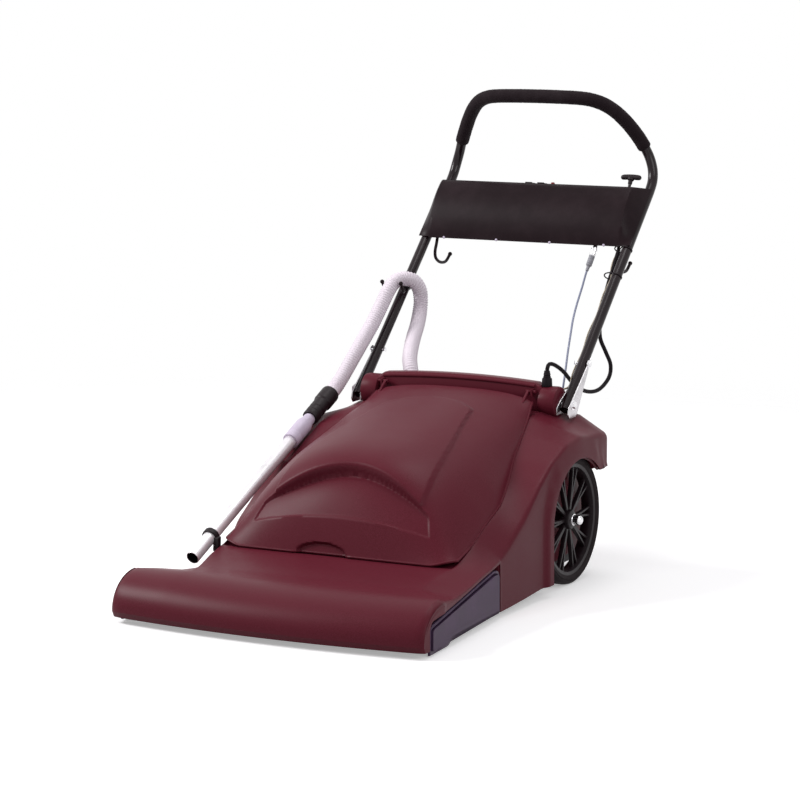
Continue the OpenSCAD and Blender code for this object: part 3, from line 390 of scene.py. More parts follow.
def mirrored(obj, name):
    """A copy on the other side of the machine."""
    other = obj.copy()
    other.data = obj.data.copy()
    other.name = name
    bpy.context.scene.collection.objects.link(other)
    other.data.transform(Matrix.Scale(-1, 4, (1, 0, 0)))
    other.data.flip_normals()
    return other


def both(make, name):
    """A right-hand piece and its mirror image, as one object."""
    right = make(name)
    return join(name, right, mirrored(right, name + "_far"))


def outline(name, points, axis, low, high, edge=0.0, segments=2):
    """A flat outline given depth along an axis. Points are the other two coordinates."""
    def full(p, d):
        q = list(p)
        q.insert("XYZ".index(axis), d)
        return q
    n = len(points)
    pts = [full(p, low) for p in points] + [full(p, high) for p in points]
    faces = [tuple(range(n)), tuple(range(2 * n - 1, n - 1, -1))]
    faces += [(i, i + n, (i + 1) % n + n, (i + 1) % n) for i in range(n)]
    obj = piece(name, pts, faces)
    outward(obj)
    return bevel(obj, edge, segments) if edge else obj


def block(name, low, high, edge=0.0, segments=2):
    x0, y0, z0 = low
    x1, y1, z1 = high
    return outline(name, [(x0, y0), (x1, y0), (x1, y1), (x0, y1)], "Z", z0, z1, edge, segments)


def turned(name, profile, centre, axis, sides=48, shift=0.0):
    """A profile of (distance along axis, radius) turned round the axis."""
    axis = Vector(axis).normalized()
    side = axis.cross(Vector((0.31, 0.52, 0.79))).normalized()
    other = axis.cross(side)
    c = Vector(centre)
    rows = []
    for d, r in profile:
        ring = []
        for k in range(sides):
            a = 2 * math.pi * (k + shift) / sides
            ring.append(c + axis * d + (side * math.cos(a) + other * math.sin(a)) * max(r, 0.01))
        rows.append(ring)
    return grid(name, rows, loop_cols=True, caps=True)


def washer(name, profile, centre, axis, sides=48):
    """A closed profile of (distance along axis, radius) turned into a ring."""
    axis = Vector(axis).normalized()
    side = axis.cross(Vector((0.31, 0.52, 0.79))).normalized()
    other = axis.cross(side)
    c = Vector(centre)
    rows = [[c + axis * d + (side * math.cos(a) + other * math.sin(a)) * r for d, r in profile]
            for a in [2 * math.pi * k / sides for k in range(sides)]]
    return grid(name, rows, loop_rows=True, loop_cols=True)


def smooth_line(points, steps):
    """The smooth curve through the points, with steps spans between two of them."""
    p = [Vector(q) for q in points]
    out = []
    for i in range(len(p) - 1):
        a, b, c, d = p[max(i - 1, 0)], p[i], p[i + 1], p[min(i + 2, len(p) - 1)]
        for k in range(steps):
            t = k / steps
            out.append(0.5 * (2 * b + (c - a) * t + (2 * a - 5 * b + 4 * c - d) * t * t
                              + (3 * b - 3 * c + d - a) * t ** 3))
    return out + [p[-1]]


def evenly(points, step):
    """The same line with points a step apart."""
    p = [Vector(q) for q in points]
    run = [0.0]
    for a, b in zip(p, p[1:]):
        run.append(run[-1] + (b - a).length)
    count = max(2, round(run[-1] / step))
    out = []
    for k in range(count + 1):
        s = run[-1] * k / count
        i = min(len(p) - 2, max(0, np.searchsorted(run, s) - 1))
        span = run[i + 1] - run[i]
        out.append(p[i].lerp(p[i + 1], (s - run[i]) / span if span else 0))
    return out


def tube(name, line, radius, sides=20, caps=True, bore=0.0):
    """A round skin along a line. radius is a number or a function of the share of the way.
    bore gives it a wall that thick and open ends."""
    line = [Vector(q) for q in line]
    n = len(line)
    side = None
    rows = []
    for i in range(n):
        t = (line[min(i + 1, n - 1)] - line[max(i - 1, 0)]).normalized()
        if side is None:
            side = t.cross(Vector((0.3, 0.5, 0.81))).normalized()
        side = (side - t * side.dot(t)).normalized()
        other = t.cross(side)
        r = radius(i / (n - 1)) if callable(radius) else radius
        rows.append([line[i] + (side * math.cos(a) + other * math.sin(a)) * r
                     for a in [2 * math.pi * k / sides for k in range(sides)]])
    obj = grid(name, rows, loop_cols=True, caps=caps and not bore)
    if bore:
        modify(obj, "SOLIDIFY", thickness=bore / 1000, offset=-1)
    return obj


def look_of(nodes, look, smooth=35.0):
    """CAD nodes whose shape is right keep it and get their finish."""
    for name in nodes.split():
        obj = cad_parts[name]
        obj.data.materials.clear()
        obj.data.materials.append(finish(look))
        obj.data.shade_smooth()
        obj.data.set_sharp_from_angle(angle=math.radians(smooth))


# ---------------------------------------------------------------- shared shapes
def eased(x, xs, ys, reach=0.0):
    """Looks a value up between stations, softened over a reach on both sides."""
    if not reach:
        return float(np.interp(x, xs, ys))
    return float(np.mean(np.interp(np.linspace(x - reach, x + reach, 7), xs, ys)))


def rounded(points, radii, fills, arc=5):
    """A line with its corners rounded. fills is how many spans each straight gets."""
    p = [Vector(q) for q in points]
    starts, ends = [p[0]], []
    arcs = []
    for i in range(1, len(p) - 1):
        before, after = p[i - 1] - p[i], p[i + 1] - p[i]
        r = min(radii[i - 1], before.length * 0.48, after.length * 0.48)
        a = p[i] + before.normalized() * r if before.length else p[i]
        b = p[i] + after.normalized() * r if after.length else p[i]
        arcs.append([a.lerp(p[i], t).lerp(p[i].lerp(b, t), t)
                     for t in [k / arc for k in range(arc + 1)]])
        ends.append(a)
        starts.append(b)
    ends.append(p[-1])
    out = []
    for i, (a, b) in enumerate(zip(starts, ends)):
        straight = [a.lerp(b, k / fills[i]) for k in range(fills[i] + 1)]
        out += straight if not out else straight[1:]
        if i < len(arcs):
            out += arcs[i][1:]
    return out


def inset(points, distance):
    """A closed outline moved inward by a distance (outlines run anticlockwise)."""
    p = [Vector(q) for q in points]
    area = sum(a.x * b.y - b.x * a.y for a, b in zip(p, p[1:] + p[:1]))
    sign = 1 if area > 0 else -1
    out = []
    for i in range(len(p)):
        a, b, c = p[i - 1], p[i], p[(i + 1) % len(p)]
        u, v = (b - a).normalized(), (c - b).normalized()
        n1, n2 = Vector((-u.y, u.x)) * sign, Vector((-v.y, v.x)) * sign
        n = (n1 + n2)
        n = n / max(0.35, n.length_squared / 2) if n.length else n1
        out.append(b + n * distance)
    return out


SECTION_Y = (104, 170, 260, 330, 407, 450, 493, 575, 658, 720, 800, 880, 930, 1000, 1031, 1041)
SECTION = dict(
    w=(384, 305, 292, 305, 305, 303, 303, 300, 280, 262, 245, 226, 228, 286, 292, 280),
    zs=(115, 114, 123, 134, 162, 184, 204, 235, 279, 318, 360, 394, 400, 391, 383, 370),
    s=(398, 392, 384, 376, 368, 362, 363, 364, 364, 365, 366, 366, 366, 366, 364, 356),
    zr=(108, 103, 112, 121, 128, 134, 155, 208, 276, 317, 347, 356, 350, 346, 341, 334),
    wl=(244, 268, 294, 303, 303, 303, 303, 300, 280, 262, 245, 226, 228, 286, 292, 280),
    zl=(110, 98, 77, 70, 84, 106, 155, 208, 276, 317, 347, 356, 350, 346, 341, 334))
LOWER_Y = (104, 170, 260, 330, 407, 449.5, 451, 493, 575, 658, 1000, 1031, 1041)
LOWER_RIGHT = (85, 93, 105, 114, 123, 127, 14, 16, 21, 27, 34, 44, 60)
LOWER_LEFT = (84, 86, 69, 63, 72, 76, 14, 16, 21, 27, 34, 44, 60)
AXLE_Y, WHEEL_R, WHEEL_FACE = 862, 157, 352
ARCH_R = 150
HUB = (WHEEL_FACE, AXLE_Y, WHEEL_R)


def section(y):
    return {k: eased(y, SECTION_Y, v, 10 if 110 < y < 1020 else 0) for k, v in SECTION.items()}


def seam_w(y):
    return eased(y, (318, 407, 493, 575, 658, 720, 800, 880, 922),
                 (303, 304, 302, 299, 279, 261, 244, 224, 212), 14)


def seam_z(y):
    return eased(y, (318, 407, 493, 575, 658, 720, 800, 880, 922),
                 (136, 164.5, 205.5, 236.5, 280.5, 319.5, 361.5, 397, 424), 10)


WAND_FOOT = Vector((-332, 243, 113))
WAND_AXIS = (Vector((-332, 893, 408)) - WAND_FOOT).normalized()


def wand_at(s):
    return WAND_FOOT + WAND_AXIS * s


def channelled(p):
    """Presses a point of the housing clear of the groove that the wand's collar lies in."""
    s = (p - WAND_FOOT).dot(WAND_AXIS)
    reach = 27 * ramp(s, 436, 452) * (1 - ramp(s, 740, 756))
    off = p - wand_at(s)
    return p + off.normalized() * max(0.0, reach - off.length) if p.x < 0 else p


def housing_row(y):
    """The housing's outline across the machine at y, from its left lower edge to its right."""
    q = section(y)
    rabbet = 7 * ramp(y, 322, 336) * (1 - ramp(y, 905, 925))
    mid = lerp(q["zl"] + 5, q["zl"] + (q["zs"] - q["zl"]) * 0.8, ramp(y, 452, 480))
    mid_x = -q["wl"] - lerp(14, (q["s"] - q["wl"]) * 0.22, ramp(y, 452, 480))
    low_r, low_l = eased(y, LOWER_Y, LOWER_RIGHT), eased(y, LOWER_Y, LOWER_LEFT)
    line = [(-q["s"], low_l), (-q["s"], q["zl"]), (mid_x, mid), (-q["wl"], q["zs"]),
            (-q["wl"] + 6, q["zs"] - rabbet), (q["w"] - 6, q["zs"] - rabbet),
            (q["w"], q["zs"]), (q["s"], q["zr"]), (q["s"], low_r)]
    radii = [8, 14, 7, 3, 3, 7, 8]
    if y > 450:
        grow = lerp(8, 11, ramp(y, 450, 600))
        radii[0] = radii[-1] = grow
    flat = rounded([(a, 0, b) for a, b in line], radii, [10, 9, 3, 1, 34, 1, 9, 10])
    out = []
    for p in flat:
        side = abs(p.x)
        up = ramp(side, q["w"] + (q["s"] - q["w"]) * 0.25, q["s"])
        reach = math.hypot(y - AXLE_Y, max(0, p.z - WHEEL_R))
        if y > AXLE_Y and p.z < 263:
            reach = 150
        flare = 8 * up * (1 - ramp(reach, 172, 190)) * (1 - ramp(y, 1026, 1041))
        out.append(tuple(channelled(Vector((p.x + math.copysign(flare, p.x), y, p.z)))))
    return out


def nose_row(turn, lip=False):
    """The nose's outline at a turn from its front (0) up to its crest (90 degrees)."""
    crest = housing_row(104.0)
    a = math.radians(turn)
    c, s = math.cos(a), math.sin(a)
    out = []
    left = [i for i, p in enumerate(crest) if p[0] <= -397.99]
    right = [i for i, p in enumerate(crest) if p[0] >= 397.99]
    for i, (x, _, z) in enumerate(crest):
        skirt = left if i in left else right if i in right else None
        x = x * 400 / 398
        if skirt:
            z = 108 if skirt is right else 110
        u = min(1, abs(x) / 400)
        end = math.sqrt(max(0, 1 - (max(0, abs(x) - 374) / 28) ** 2))
        front = -30 * (1 - u * u) + 8 * (1 - end)
        y, z = (front + 7, 14) if lip else (104 - (104 - front) * c, 28 + (z - 28) * s)
        if skirt:
            far = (skirt[-1] - i if skirt is left else i - skirt[0]) / (len(skirt) - 1)
            low = 14 if lip else lerp(28, 85, s)
            inner = float(np.interp(low, (60, 75, 79, 85), (33, 41, 50, 104)))
            y, z = lerp(y, inner, far), lerp(z, low, far)
        out.append((x, y, z))
    return out


def housing_shell():
    rows = [nose_row(0, lip=True)] + [nose_row(90 * k / 16) for k in range(17)]
    rows += [housing_row(y) for y in np.arange(112, 449, 9)]
    rows += [housing_row(y) for y in (449.4, 451)]
    rows += [housing_row(y) for y in np.arange(458, 1036, 8)]
    rows += [housing_row(y) for y in (1037, 1041)]
    obj = grid("housing", rows)
    up = sum(1 for f in obj.data.polygons if f.normal.z > 0.5)
    down = sum(1 for f in obj.data.polygons if f.normal.z < -0.5)
    if down > up:
        obj.data.flip_normals()
    modify(obj, "SOLIDIFY", thickness=0.004, offset=-1)
    return obj


def well_outline(grow=0.0):
    """The wheel opening seen from the side, from its front foot to the rear."""
    line = [(713 - grow, -20), (713 - grow, WHEEL_R)]
    r = ARCH_R + grow
    line += [(AXLE_Y - r * math.cos(a), WHEEL_R + r * math.sin(a))
             for a in np.linspace(0.05, math.pi - math.acos((106.1 + grow * 0.3) / r), 40)]
    rear_z = 263 + grow
    line += [(y, rear_z) for y in (974 + grow * 0.2, 1000, 1070)]
    return line


def lid_opening():
    rows = []
    for y in (446, 493, 575, 658, 760, 860, 916):
        w, z = seam_w(y) - 30, seam_z(y)
        rows.append([(-w, y, z - 60), (w, y, z - 60), (w, y, z + 90), (-w, y, z + 90)])
    return grid("opening", rows, loop_cols=True, caps=True)


shell = housing_shell()
for sign in (1, -1):
    hole = outline("hole", well_outline() + [(1070, -20)], "X", min(sign * 300, sign * 420),
                   max(sign * 300, sign * 420))
    carve(shell, hole)
carve(shell, lid_opening())
carve(shell, turned("hole", [(0, 6), (200, 6)], (248, 1012, 300), (0, 0, 1)))
carve(shell, turned("hole", [(0, 24), (200, 24)], (-158, 1012, 300), (0, 0, 1)))
dress(shell, "burgundy_shell", "machine", "upper_housing", smooth=28)

# wheel wells, the rear wall and the cross wall behind the brush deck
def wheel_well(name):
    roof = [(707, 32), (707, 157)]
    roof += [(AXLE_Y - 167 * math.cos(a), WHEEL_R + 167 * math.sin(a))
             for a in np.linspace(0.37, 2.15, 40)]
    roof += [(962, 267), (1034, 267)]
    skin = grid(name + "_roof", [[(x, y, z) for y, z in roof] for x in (298, 330, 357)])
    modify(skin, "SOLIDIFY", thickness=0.004, offset=0)
    wall = outline(name + "_wall", [(y, z) for y, z in roof] + [(1034, 62), (720, 34)], "X",
                   296, 299)
    lip = tube(name + "_lip", [(363.5, y, z) for y, z in rounded_arch()],
               lambda t: 4.2 * min(1, 0.3 + 14 * t, 0.3 + 10 * (1 - t)), 10)
    return join(name, skin, wall, lip)


def rounded_arch():
    line = [(713, 42), (713, 90), (713, 150)]
    line += [(AXLE_Y - (ARCH_R + 1) * math.cos(a), WHEEL_R + (ARCH_R + 1) * math.sin(a))
             for a in np.linspace(0.1, 2.28, 40)]
    line += [(972, 264), (990, 263), (1012, 263)]
    return line


dress(both(wheel_well, "wheel_wells"), "burgundy_shell", "machine")


def rear_wall():
    q = housing_row(1041.0)
    pts = [(p[0], p[2]) for p in q if p[2] >= 262 or abs(p[0]) < 300]
    pts += [(298, 262), (298, 60), (-298, 60), (-298, 262)]
    return outline("rear_wall", pts, "Y", 1034, 1042.5)


dress(rear_wall(), "burgundy_shell", "machine")
dress(both(lambda n: block(n, (332, 447, 16), (359, 450.6, 126), 1.0), "front_wall"),
      "burgundy_shell", "machine")


# ---------------------------------------------------------------- lid
def lid_front(x):
    return 318 + 42 * (1 - math.sqrt(max(0.0, 1 - (max(0, abs(x) - 243) / 62) ** 2)))


def lid_height(x, y):
    """Height of the plain dome at x, y."""
    t = (y - 318) / 604
    crown = 136 + 196 * math.tanh(t / 0.12) + 115 * t
    w, z0 = seam_w(y), seam_z(y)
    v = min(1.0, abs(x) / w)
    power = lerp(0.92, 0.68, ramp(t, 0.1, 0.6))
    return z0 + max(0, crown - z0) * max(0.0, 1 - v ** 2.6) ** power


def lid_surface(a, b):
    """Point of the lid; a runs 0..1 from front to rear and b -1..1 across."""
    y0 = 318 + 604 * (0.35 * a + 0.65 * a * a)
    x = seam_w(y0) * math.sin(math.pi / 2 * b)
    front = lid_front(x)
    y = front + (y0 - 318) * (922 - front) / 604
    x = x * seam_w(y) / seam_w(y0)
    z = lid_height(x, y)
    # bare label recess, deepest under its upper arc
    low, high = 220 - 30 * (x / 233) ** 2, 330 - 94 * (x / 216) ** 2
    edge = lerp(233, 216, (z - 190) / 46) - abs(x)
    share = (z - low) / max(1, high - low)
    inside = ramp(z, low, low + 3) * (1 - ramp(z, high - 6, high)) * ramp(edge, 0, 4)
    depth = inside * (2.4 + 24.0 * max(0, share) * ramp(high - low, 20, 105)) if y < 520 else 0
    # raised panel behind it
    half = eased(y, (420, 465, 515, 590, 700, 790), (194, 188, 180, 166, 139, 120), 12)
    rear = 838 - 44 * (x / 118) ** 2
    panel = ramp(half - abs(x), 0, 4) * (1 - ramp(y, rear - 6, rear)) * ramp(z, high - 5, high + 5)
    # finger recess in the front edge
    arch = 1 - ((x + 34) / 64) ** 2
    scoop = 0.0
    if arch > 0 and y < 420:
        top = 139 + 25 * math.sqrt(arch)
        scoop = 9 * (1 - ramp(z, top - 8, top))
    slope = ramp(y, 320, 420)
    lift = panel * 5.4 - depth
    return (x, y - lift * lerp(0.9, 0.45, slope) + scoop, z + lift * lerp(0.4, 0.9, slope))


def lid():
    rows = [[lid_surface(i / 190, 2 * j / 200 - 1) for j in range(201)] for i in range(191)]
    obj = facing(grid("lid_cover", rows), "z")
    modify(obj, "SOLIDIFY", thickness=0.004, offset=-1)
    rim = []
    for j in range(0, 201, 2):
        rim.append(lid_surface(0, 2 * j / 200 - 1))
    side = [lid_surface(i / 60, 1) for i in range(1, 61)]
    far = [lid_surface(i / 60, -1) for i in range(60, 0, -1)]
    bead = tube("lid_rim", [Vector(p) + Vector((0, 1.5, -0.5)) for p in far + rim + side], 3.0, 8)
    lugs = both(lambda n: outline(n, [(900, 412), (902, 424), (934, 450), (942, 450), (944, 443),
                                      (938, 438)], "X", 193, 199, 1.2), "lid_lugs")
    return join("lid_cover", obj, bead, lugs)


dress(lid(), "burgundy_shell", "lid", "lid", smooth=40)


# ---------------------------------------------------------------- rear bar and bosses
def rear_bar():
    crown = [(x, 466 + 8 * (1 - (x / 208) ** 2)) for x in np.linspace(-208, 208, 27)]
    face = [(-230, 346), (-230, 452)] + crown + [(230, 452), (230, 346)]
    bar = outline("bar", face, "Y", 948, 986, 7.0, 3)
    strip = tube("strip", [(x, 950, z - 8) for x, z in crown], 5.0, 10)
    plate = outline("plate", [(-222, 187), (222, 187), (222, 357), (-222, 357)], "Y", 952, 956)
    return join("rear_bar", bar, strip, plate)


def boss(name):
    body = turned(name + "_a", [(0, 26), (0.5, 34), (3, 38.5), (8, 40), (40, 40), (45, 38.5),
                                (47.6, 34), (48, 26), (48, 9)], (220, 969, 418), (1, 0, 0), 56)
    web = outline(name + "_b", [(930, 392), (1000, 380), (1006, 352), (936, 356)], "X", 224, 262,
                  5, 3)
    return join(name, body, web)


dress(rear_bar(), "burgundy_shell", "machine", "rear_bulkhead")
dress(both(boss, "handle_bosses"), "burgundy_shell", "machine")


# ---------------------------------------------------------------- side plates
PLATE_RIGHT = [(37, 3), (138, 3), (146, 5), (158, 11), (176, 14), (447, 12), (447, 102),
               (443, 110), (432, 115), (410, 116), (50, 68), (41, 62), (37, 54)]
PLATE_LEFT = [(37, 3), (138, 3), (146, 5), (158, 11), (176, 14), (447, 12), (447, 48),
              (440, 54), (330, 54), (260, 60), (170, 76), (110, 74), (50, 68), (41, 62), (37, 54)]


def side_plate(name, points, side):
    soft_edge = rounded([(p[0], p[1], 0) for p in points + points[:1]], [4] * (len(points) - 1),
                        [1] * len(points), 3)[:-1]
    flat = [Vector((p.x, p.y)) for p in soft_edge]
    parts = []
    for k, (step, low, high) in enumerate([(0.0, -6.0, -1.6), (0.5, -6.0, -0.2)]):
        ring = inset(flat, step)
        parts.append(outline(f"{name}_{k}", [tuple(p) for p in ring], "X", low, high,
                             0.8 if k else 0.4))
    pocket = outline("pocket", [tuple(p) for p in inset(flat, 9)], "X", -1.4, 4)
    carve(parts[1], pocket)
    panel = outline(name + "_p", [tuple(p) for p in inset(flat, 11.5)], "X", -3, -0.7, 0.7)
    obj = join(name, *parts, panel)
    turn = math.radians(5)
    base = Matrix.Translation(Vector((0.398, (37 - MID_Y) / 1000, 0)))
    spin = base @ Matrix.Rotation(turn, 4, "Z") @ Matrix.Translation(
        Vector((0, (MID_Y - 37) / 1000, 0)))
    obj.data.transform(spin)
    if side < 0:
        obj.data.transform(Matrix.Scale(-1, 4, (1, 0, 0)))
        obj.data.flip_normals()
    return obj


dress(side_plate("side_plate_right", PLATE_RIGHT, 1), "plum_plate", "deck", "side_plates")
dress(side_plate("side_plate_left", PLATE_LEFT, -1), "plum_plate", "deck")


# ---------------------------------------------------------------- wheels
def tyre(name):
    r = WHEEL_R
    profile = [(3, r - 23), (1, r - 18), (0, r - 13), (1.2, r - 12), (0, r - 11), (0, r - 8),
               (1.5, r - 5), (5, r - 1.8), (10, r - 0.5), (14, r), (15, r - 1.8), (17, r - 1.8),
               (18, r), (24, r), (25, r - 1.8), (27, r - 1.8), (28, r), (32, r - 0.5),
               (37, r - 1.8), (40.5, r - 5), (42, r - 8), (42, r - 13), (39, r - 23)]
    profile += [(21, r - 24)]
    return washer(name, profile, HUB, (-1, 0, 0), 120)


def rim(name):
    hoop = washer(name + "_hoop", [(5, 126), (3.4, 134), (5, 134.6), (37, 134.6), (38.6, 134),
                                   (37, 126), (30, 124), (21, 122), (12, 124)],
                  HUB, (-1, 0, 0), 96)
    hub = turned(name + "_hub", [(1, 10), (1, 18), (3, 22), (8, 24), (34, 24), (40, 22), (41, 18),
                                 (41, 10)], HUB, (-1, 0, 0), 48)
    spokes = []
    for k in range(10):
        a = 2 * math.pi * k / 10
        for lean in (-0.055, 0.055):
            rows = []
            for t in (0, 0.12, 0.5, 0.88, 1.0):
                r = lerp(20, 126, t)
                half = lerp(4.6, 3.4, t) + (2 if t in (0, 1.0) else 0)
                depth = lerp(12, 9, t)
                swing = a + lean * lerp(0.2, 1.6, t)
                c, s = math.cos(swing), math.sin(swing)
                row = []
                for u, v in [(-1, 0), (-0.6, 1), (0.6, 1), (1, 0), (0.6, -1), (-0.6, -1)]:
                    row.append((WHEEL_FACE - 17 + v * depth / 2, AXLE_Y + c * r - s * u * half,
                                WHEEL_R + s * r + c * u * half))
                rows.append(row)
            spokes.append(grid(f"{name}_{k}{lean}", rows, loop_cols=True, caps=True))
    return join(name, hoop, hub, *spokes)


def hub_cap(name):
    dome = turned(name + "_dome", [(-24, 1), (-23.8, 4), (-23, 7), (-21, 9.8), (-17, 11.6),
                                   (-12, 12), (0.9, 12)], HUB, (-1, 0, 0), 40)
    flange = turned(name + "_flange", [(-3, 12), (-2.4, 14), (0.9, 14)],
                    HUB, (-1, 0, 0), 40)
    return join(name, dome, flange)


for part, make, look in (("tyre", tyre, "tyre_rubber"), ("rim", rim, "wheel_moulded"),
                         ("cap", hub_cap, "bright_plate")):
    right = make("wheel_right_" + part + "_look")
    left = mirrored(right, "wheel_left_" + part + "_look")
    dress(right, look, "wheel_right", "wheel_right_" + part)
    dress(left, look, "wheel_left", "wheel_left_" + part)


# ---------------------------------------------------------------- brush
def tufts():
    rng = random.Random(7)
    bm = bmesh.new()
    for row in range(6):
        for k in range(58):
            x = lerp(-358, 328, k / 57)
            a = 2 * math.pi * row / 6 + 0.52
            for part in range(3):
                lean = rng.uniform(-0.05, 0.05)
                shift = rng.uniform(-2.5, 2.5)
                root = Vector((x + shift, 130 + math.cos(a + lean) * 21, 44 + math.sin(a + lean) * 21))
                tip = Vector((x + shift * 1.6, 130 + math.cos(a + lean * 2) * 42.8,
                              44 + math.sin(a + lean * 2) * 42.8))
                out = (tip - root).normalized()
                u = Vector((1, 0, 0))
                v = out.cross(u)
                ring = []
                for end, r in ((root, 1.6), (tip, 2.0)):
                    ring.append([bm.verts.new(at(end + (u * math.cos(b) + v * math.sin(b)) * r))
                                 for b in (0, 2.09, 4.19)])
                for i in range(3):
                    j = (i + 1) % 3
                    bm.faces.new((ring[0][i], ring[0][j], ring[1][j], ring[1][i]))
                bm.faces.new(ring[1])
                bm.faces.new(list(reversed(ring[0])))
    mesh = bpy.data.meshes.new("tufts")
    bm.to_mesh(mesh)
    bm.free()
    obj = bpy.data.objects.new("brush_tufts", mesh)
    bpy.context.scene.collection.objects.link(obj)
    outward(obj)
    return obj


dress(tufts(), "bristle", "brush", "brush_bristles", smooth=180)


# ---------------------------------------------------------------- handle
LEAN = math.radians(44.5)
ALONG = Vector((0, math.cos(LEAN), math.sin(LEAN)))
MID = Vector((284, 1400, 839))


def tube_at(s):
    return MID + ALONG * s


def back(y, d):
    return 839 + (y - 1400) * math.tan(LEAN) + (13.3 + d) / math.cos(LEAN)


BOW = [tuple(MID), tuple(tube_at(44)), (284, 1458, 897), (283, 1476, 920), (279, 1485, 946),
       (271, 1486, 974), (261, 1479, 1000), (248, 1469, 1026), (234, 1457, 1050),
       (219, 1444, 1072), (200, 1429, 1094), (177, 1413, 1112), (150, 1400, 1123),
       (118, 1392, 1128), (60, 1388, 1130), (0, 1387, 1130.5)]
BOW += [(-x, y, z) for x, y, z in BOW[-2::-1]]


def handle_leg(name):
    return tube(name, [tube_at(-622 + 622 * k / 24) for k in range(25)], 12.7, 32, bore=2)


right_leg = handle_leg("handle_leg_right")
left_leg = mirrored(right_leg, "handle_leg_left")
dress(right_leg, "black_gloss", "machine", "handle_tube_right")
dress(left_leg, "black_gloss", "machine", "handle_tube_left")
bow_line = smooth_line(BOW, 5)
dress(tube("handle_loop", bow_line, 12.7, 32), "black_gloss", "machine", "handle_bow")


def grip():
    line = evenly(smooth_line(BOW[6:-6], 5), 3.0)
    rng = random.Random(3)
    rough = [rng.uniform(-0.25, 0.25) for _ in line]
    n = len(line) - 1

    def radius(t):
        near = min(t, 1 - t) * n * 3.0
        return 17.6 - 3.4 * (1 - min(1, near / 5) ** 0.5) + rough[round(t * n)]
    return tube("grip_sleeve", line, radius, 32)


dress(grip(), "foam_sleeve", "machine", "foam_grip", smooth=180)


def gusset(name):
    outer = outline(name + "_o", [(1078, 520), (1062, 508), (950, 412), (944, 394), (952, 384),
                                  (986, 384), (996, 394)], "X", 296.8, 299.8, 0.8)
    inner = outline(name + "_i", [(1000, 446), (962, 426), (940, 410), (940, 392), (986, 392)],
                    "X", 268.2, 271.2, 0.8)
    return join(name, outer, inner)


dress(both(gusset, "handle_plates"), "zinc_sheet", "machine", "handle_gussets")


def hex_head(name, x0, x1, y, z, r):
    return turned(name, [(0, r * 0.97), (0.6, r), (x1 - x0 - 1.4, r), (x1 - x0, r * 0.86)],
                  (x0, y, z), (1, 0, 0), 6)


def bolts(name):
    foot, upper = tube_at(18 - 622), tube_at(144 - 622)
    parts = []
    for k, (p, shank, r, length) in enumerate(((foot, 4.8, 9, 6), (upper, 3.4, 7, 4.5))):
        parts.append(turned(f"{name}_s{k}", [(0, shank), (36 if k else 58, shank)],
                            (266 if k else 244, p.y, p.z), (1, 0, 0), 20))
        parts.append(turned(f"{name}_w{k}", [(0, r + 3), (1.2, r + 3), (1.5, r + 2.4)],
                            (299.9, p.y, p.z), (1, 0, 0), 32))
        parts.append(hex_head(f"{name}_h{k}", 301.2, 301.2 + length, p.y, p.z, r))
        parts.append(hex_head(f"{name}_n{k}", 262.5 if k else 262, 267.5 if k else 267.9,
                              p.y, p.z, r - 1))
    return join(name, *parts)


dress(both(bolts, "handle_bolt_set"), "bright_plate", "machine", "handle_bolts")


# ---------------------------------------------------------------- console
FRONT = [(1307, back(1307, 2)), (1309, 790), (1317, 820), (1332, 852), (1353, 882),
         (1377, 904.5), (1388, 909)]


def console_hood():
    line = evenly([(0, a, b) for a, b in smooth_points(FRONT)], 5.0)
    run = [0.0]
    for a, b in zip(line, line[1:]):
        run.append(run[-1] + (b - a).length)
    rows = []
    xs = [-298, -296.5, -293, -288, -283, -278, -273, -268.5]
    xs += list(np.linspace(-262, 262, 44)) + [-x for x in xs[::-1]]
    for i, p in enumerate(line):
        t = run[i] / run[-1]
        y_back = lerp(1307.5, 1438, t)
        foot = Vector((0, y_back, back(y_back, 2) + 1.0 + 2.0 * t))
        row = []
        for x in xs:
            f = max(0, (abs(x) - 268) / 30)
            q = p.lerp(foot, f ** 1.25)
            row.append((x, q.y, q.z))
        rows.append(row)
    hood = facing(grid("hood", rows), "y", -1)
    modify(hood, "SOLIDIFY", thickness=0.002, offset=-1)
    top = outline("top", [(-268, 1386), (268, 1386), (268, 1461), (-268, 1461)], "Z", 0, 2.0)
    slant = math.atan2(897.5 - 909, 1462 - 1388)
    turn = Matrix.Rotation(slant, 4, "X")
    pivot = at((0, 1388, 907.0))
    top.data.transform(Matrix.Translation(Vector((0, -pivot.y, 0))))
    top.data.transform(Matrix.Translation(Vector((0, pivot.y, pivot.z))) @ turn)
    window = block("window", (-46, 1397, 880), (46, 1427, 925))
    carve(top, window)
    rear = tube("rear_lip", [(x, 1461, 896.4) for x in np.linspace(-268, 268, 20)], 2.2, 10)
    cheek_tops = both(lambda n: outline(n, [(1386, 905), (1440, 898), (1438, back(1438, 2)),
                                            (1400, back(1400, 2))], "X", 266, 268), "cheek")
    return join("console_hood", hood, top, rear, cheek_tops)


def smooth_points(points):
    return [(p.y, p.z) for p in smooth_line([(0, a, b) for a, b in points], 6)]


dress(console_hood(), "black_satin", "machine", "console_shell", smooth=32)


def screws(name, places, r=3.4):
    parts = []
    for k, (p, axis) in enumerate(places):
        head = turned(f"{name}{k}", [(-1, r), (0.4, r), (1.2, r * 0.82), (1.7, r * 0.45),
                                     (1.8, 0.5)], p, axis, 20)
        parts.append(head)
    return join(name, *parts)


dress(screws("console_screws", [((x, 1306.2, 768), (0, -1, 0.1))
                                for x in (-225, -75, 75, 225)]),
      "grey_moulded", "machine")


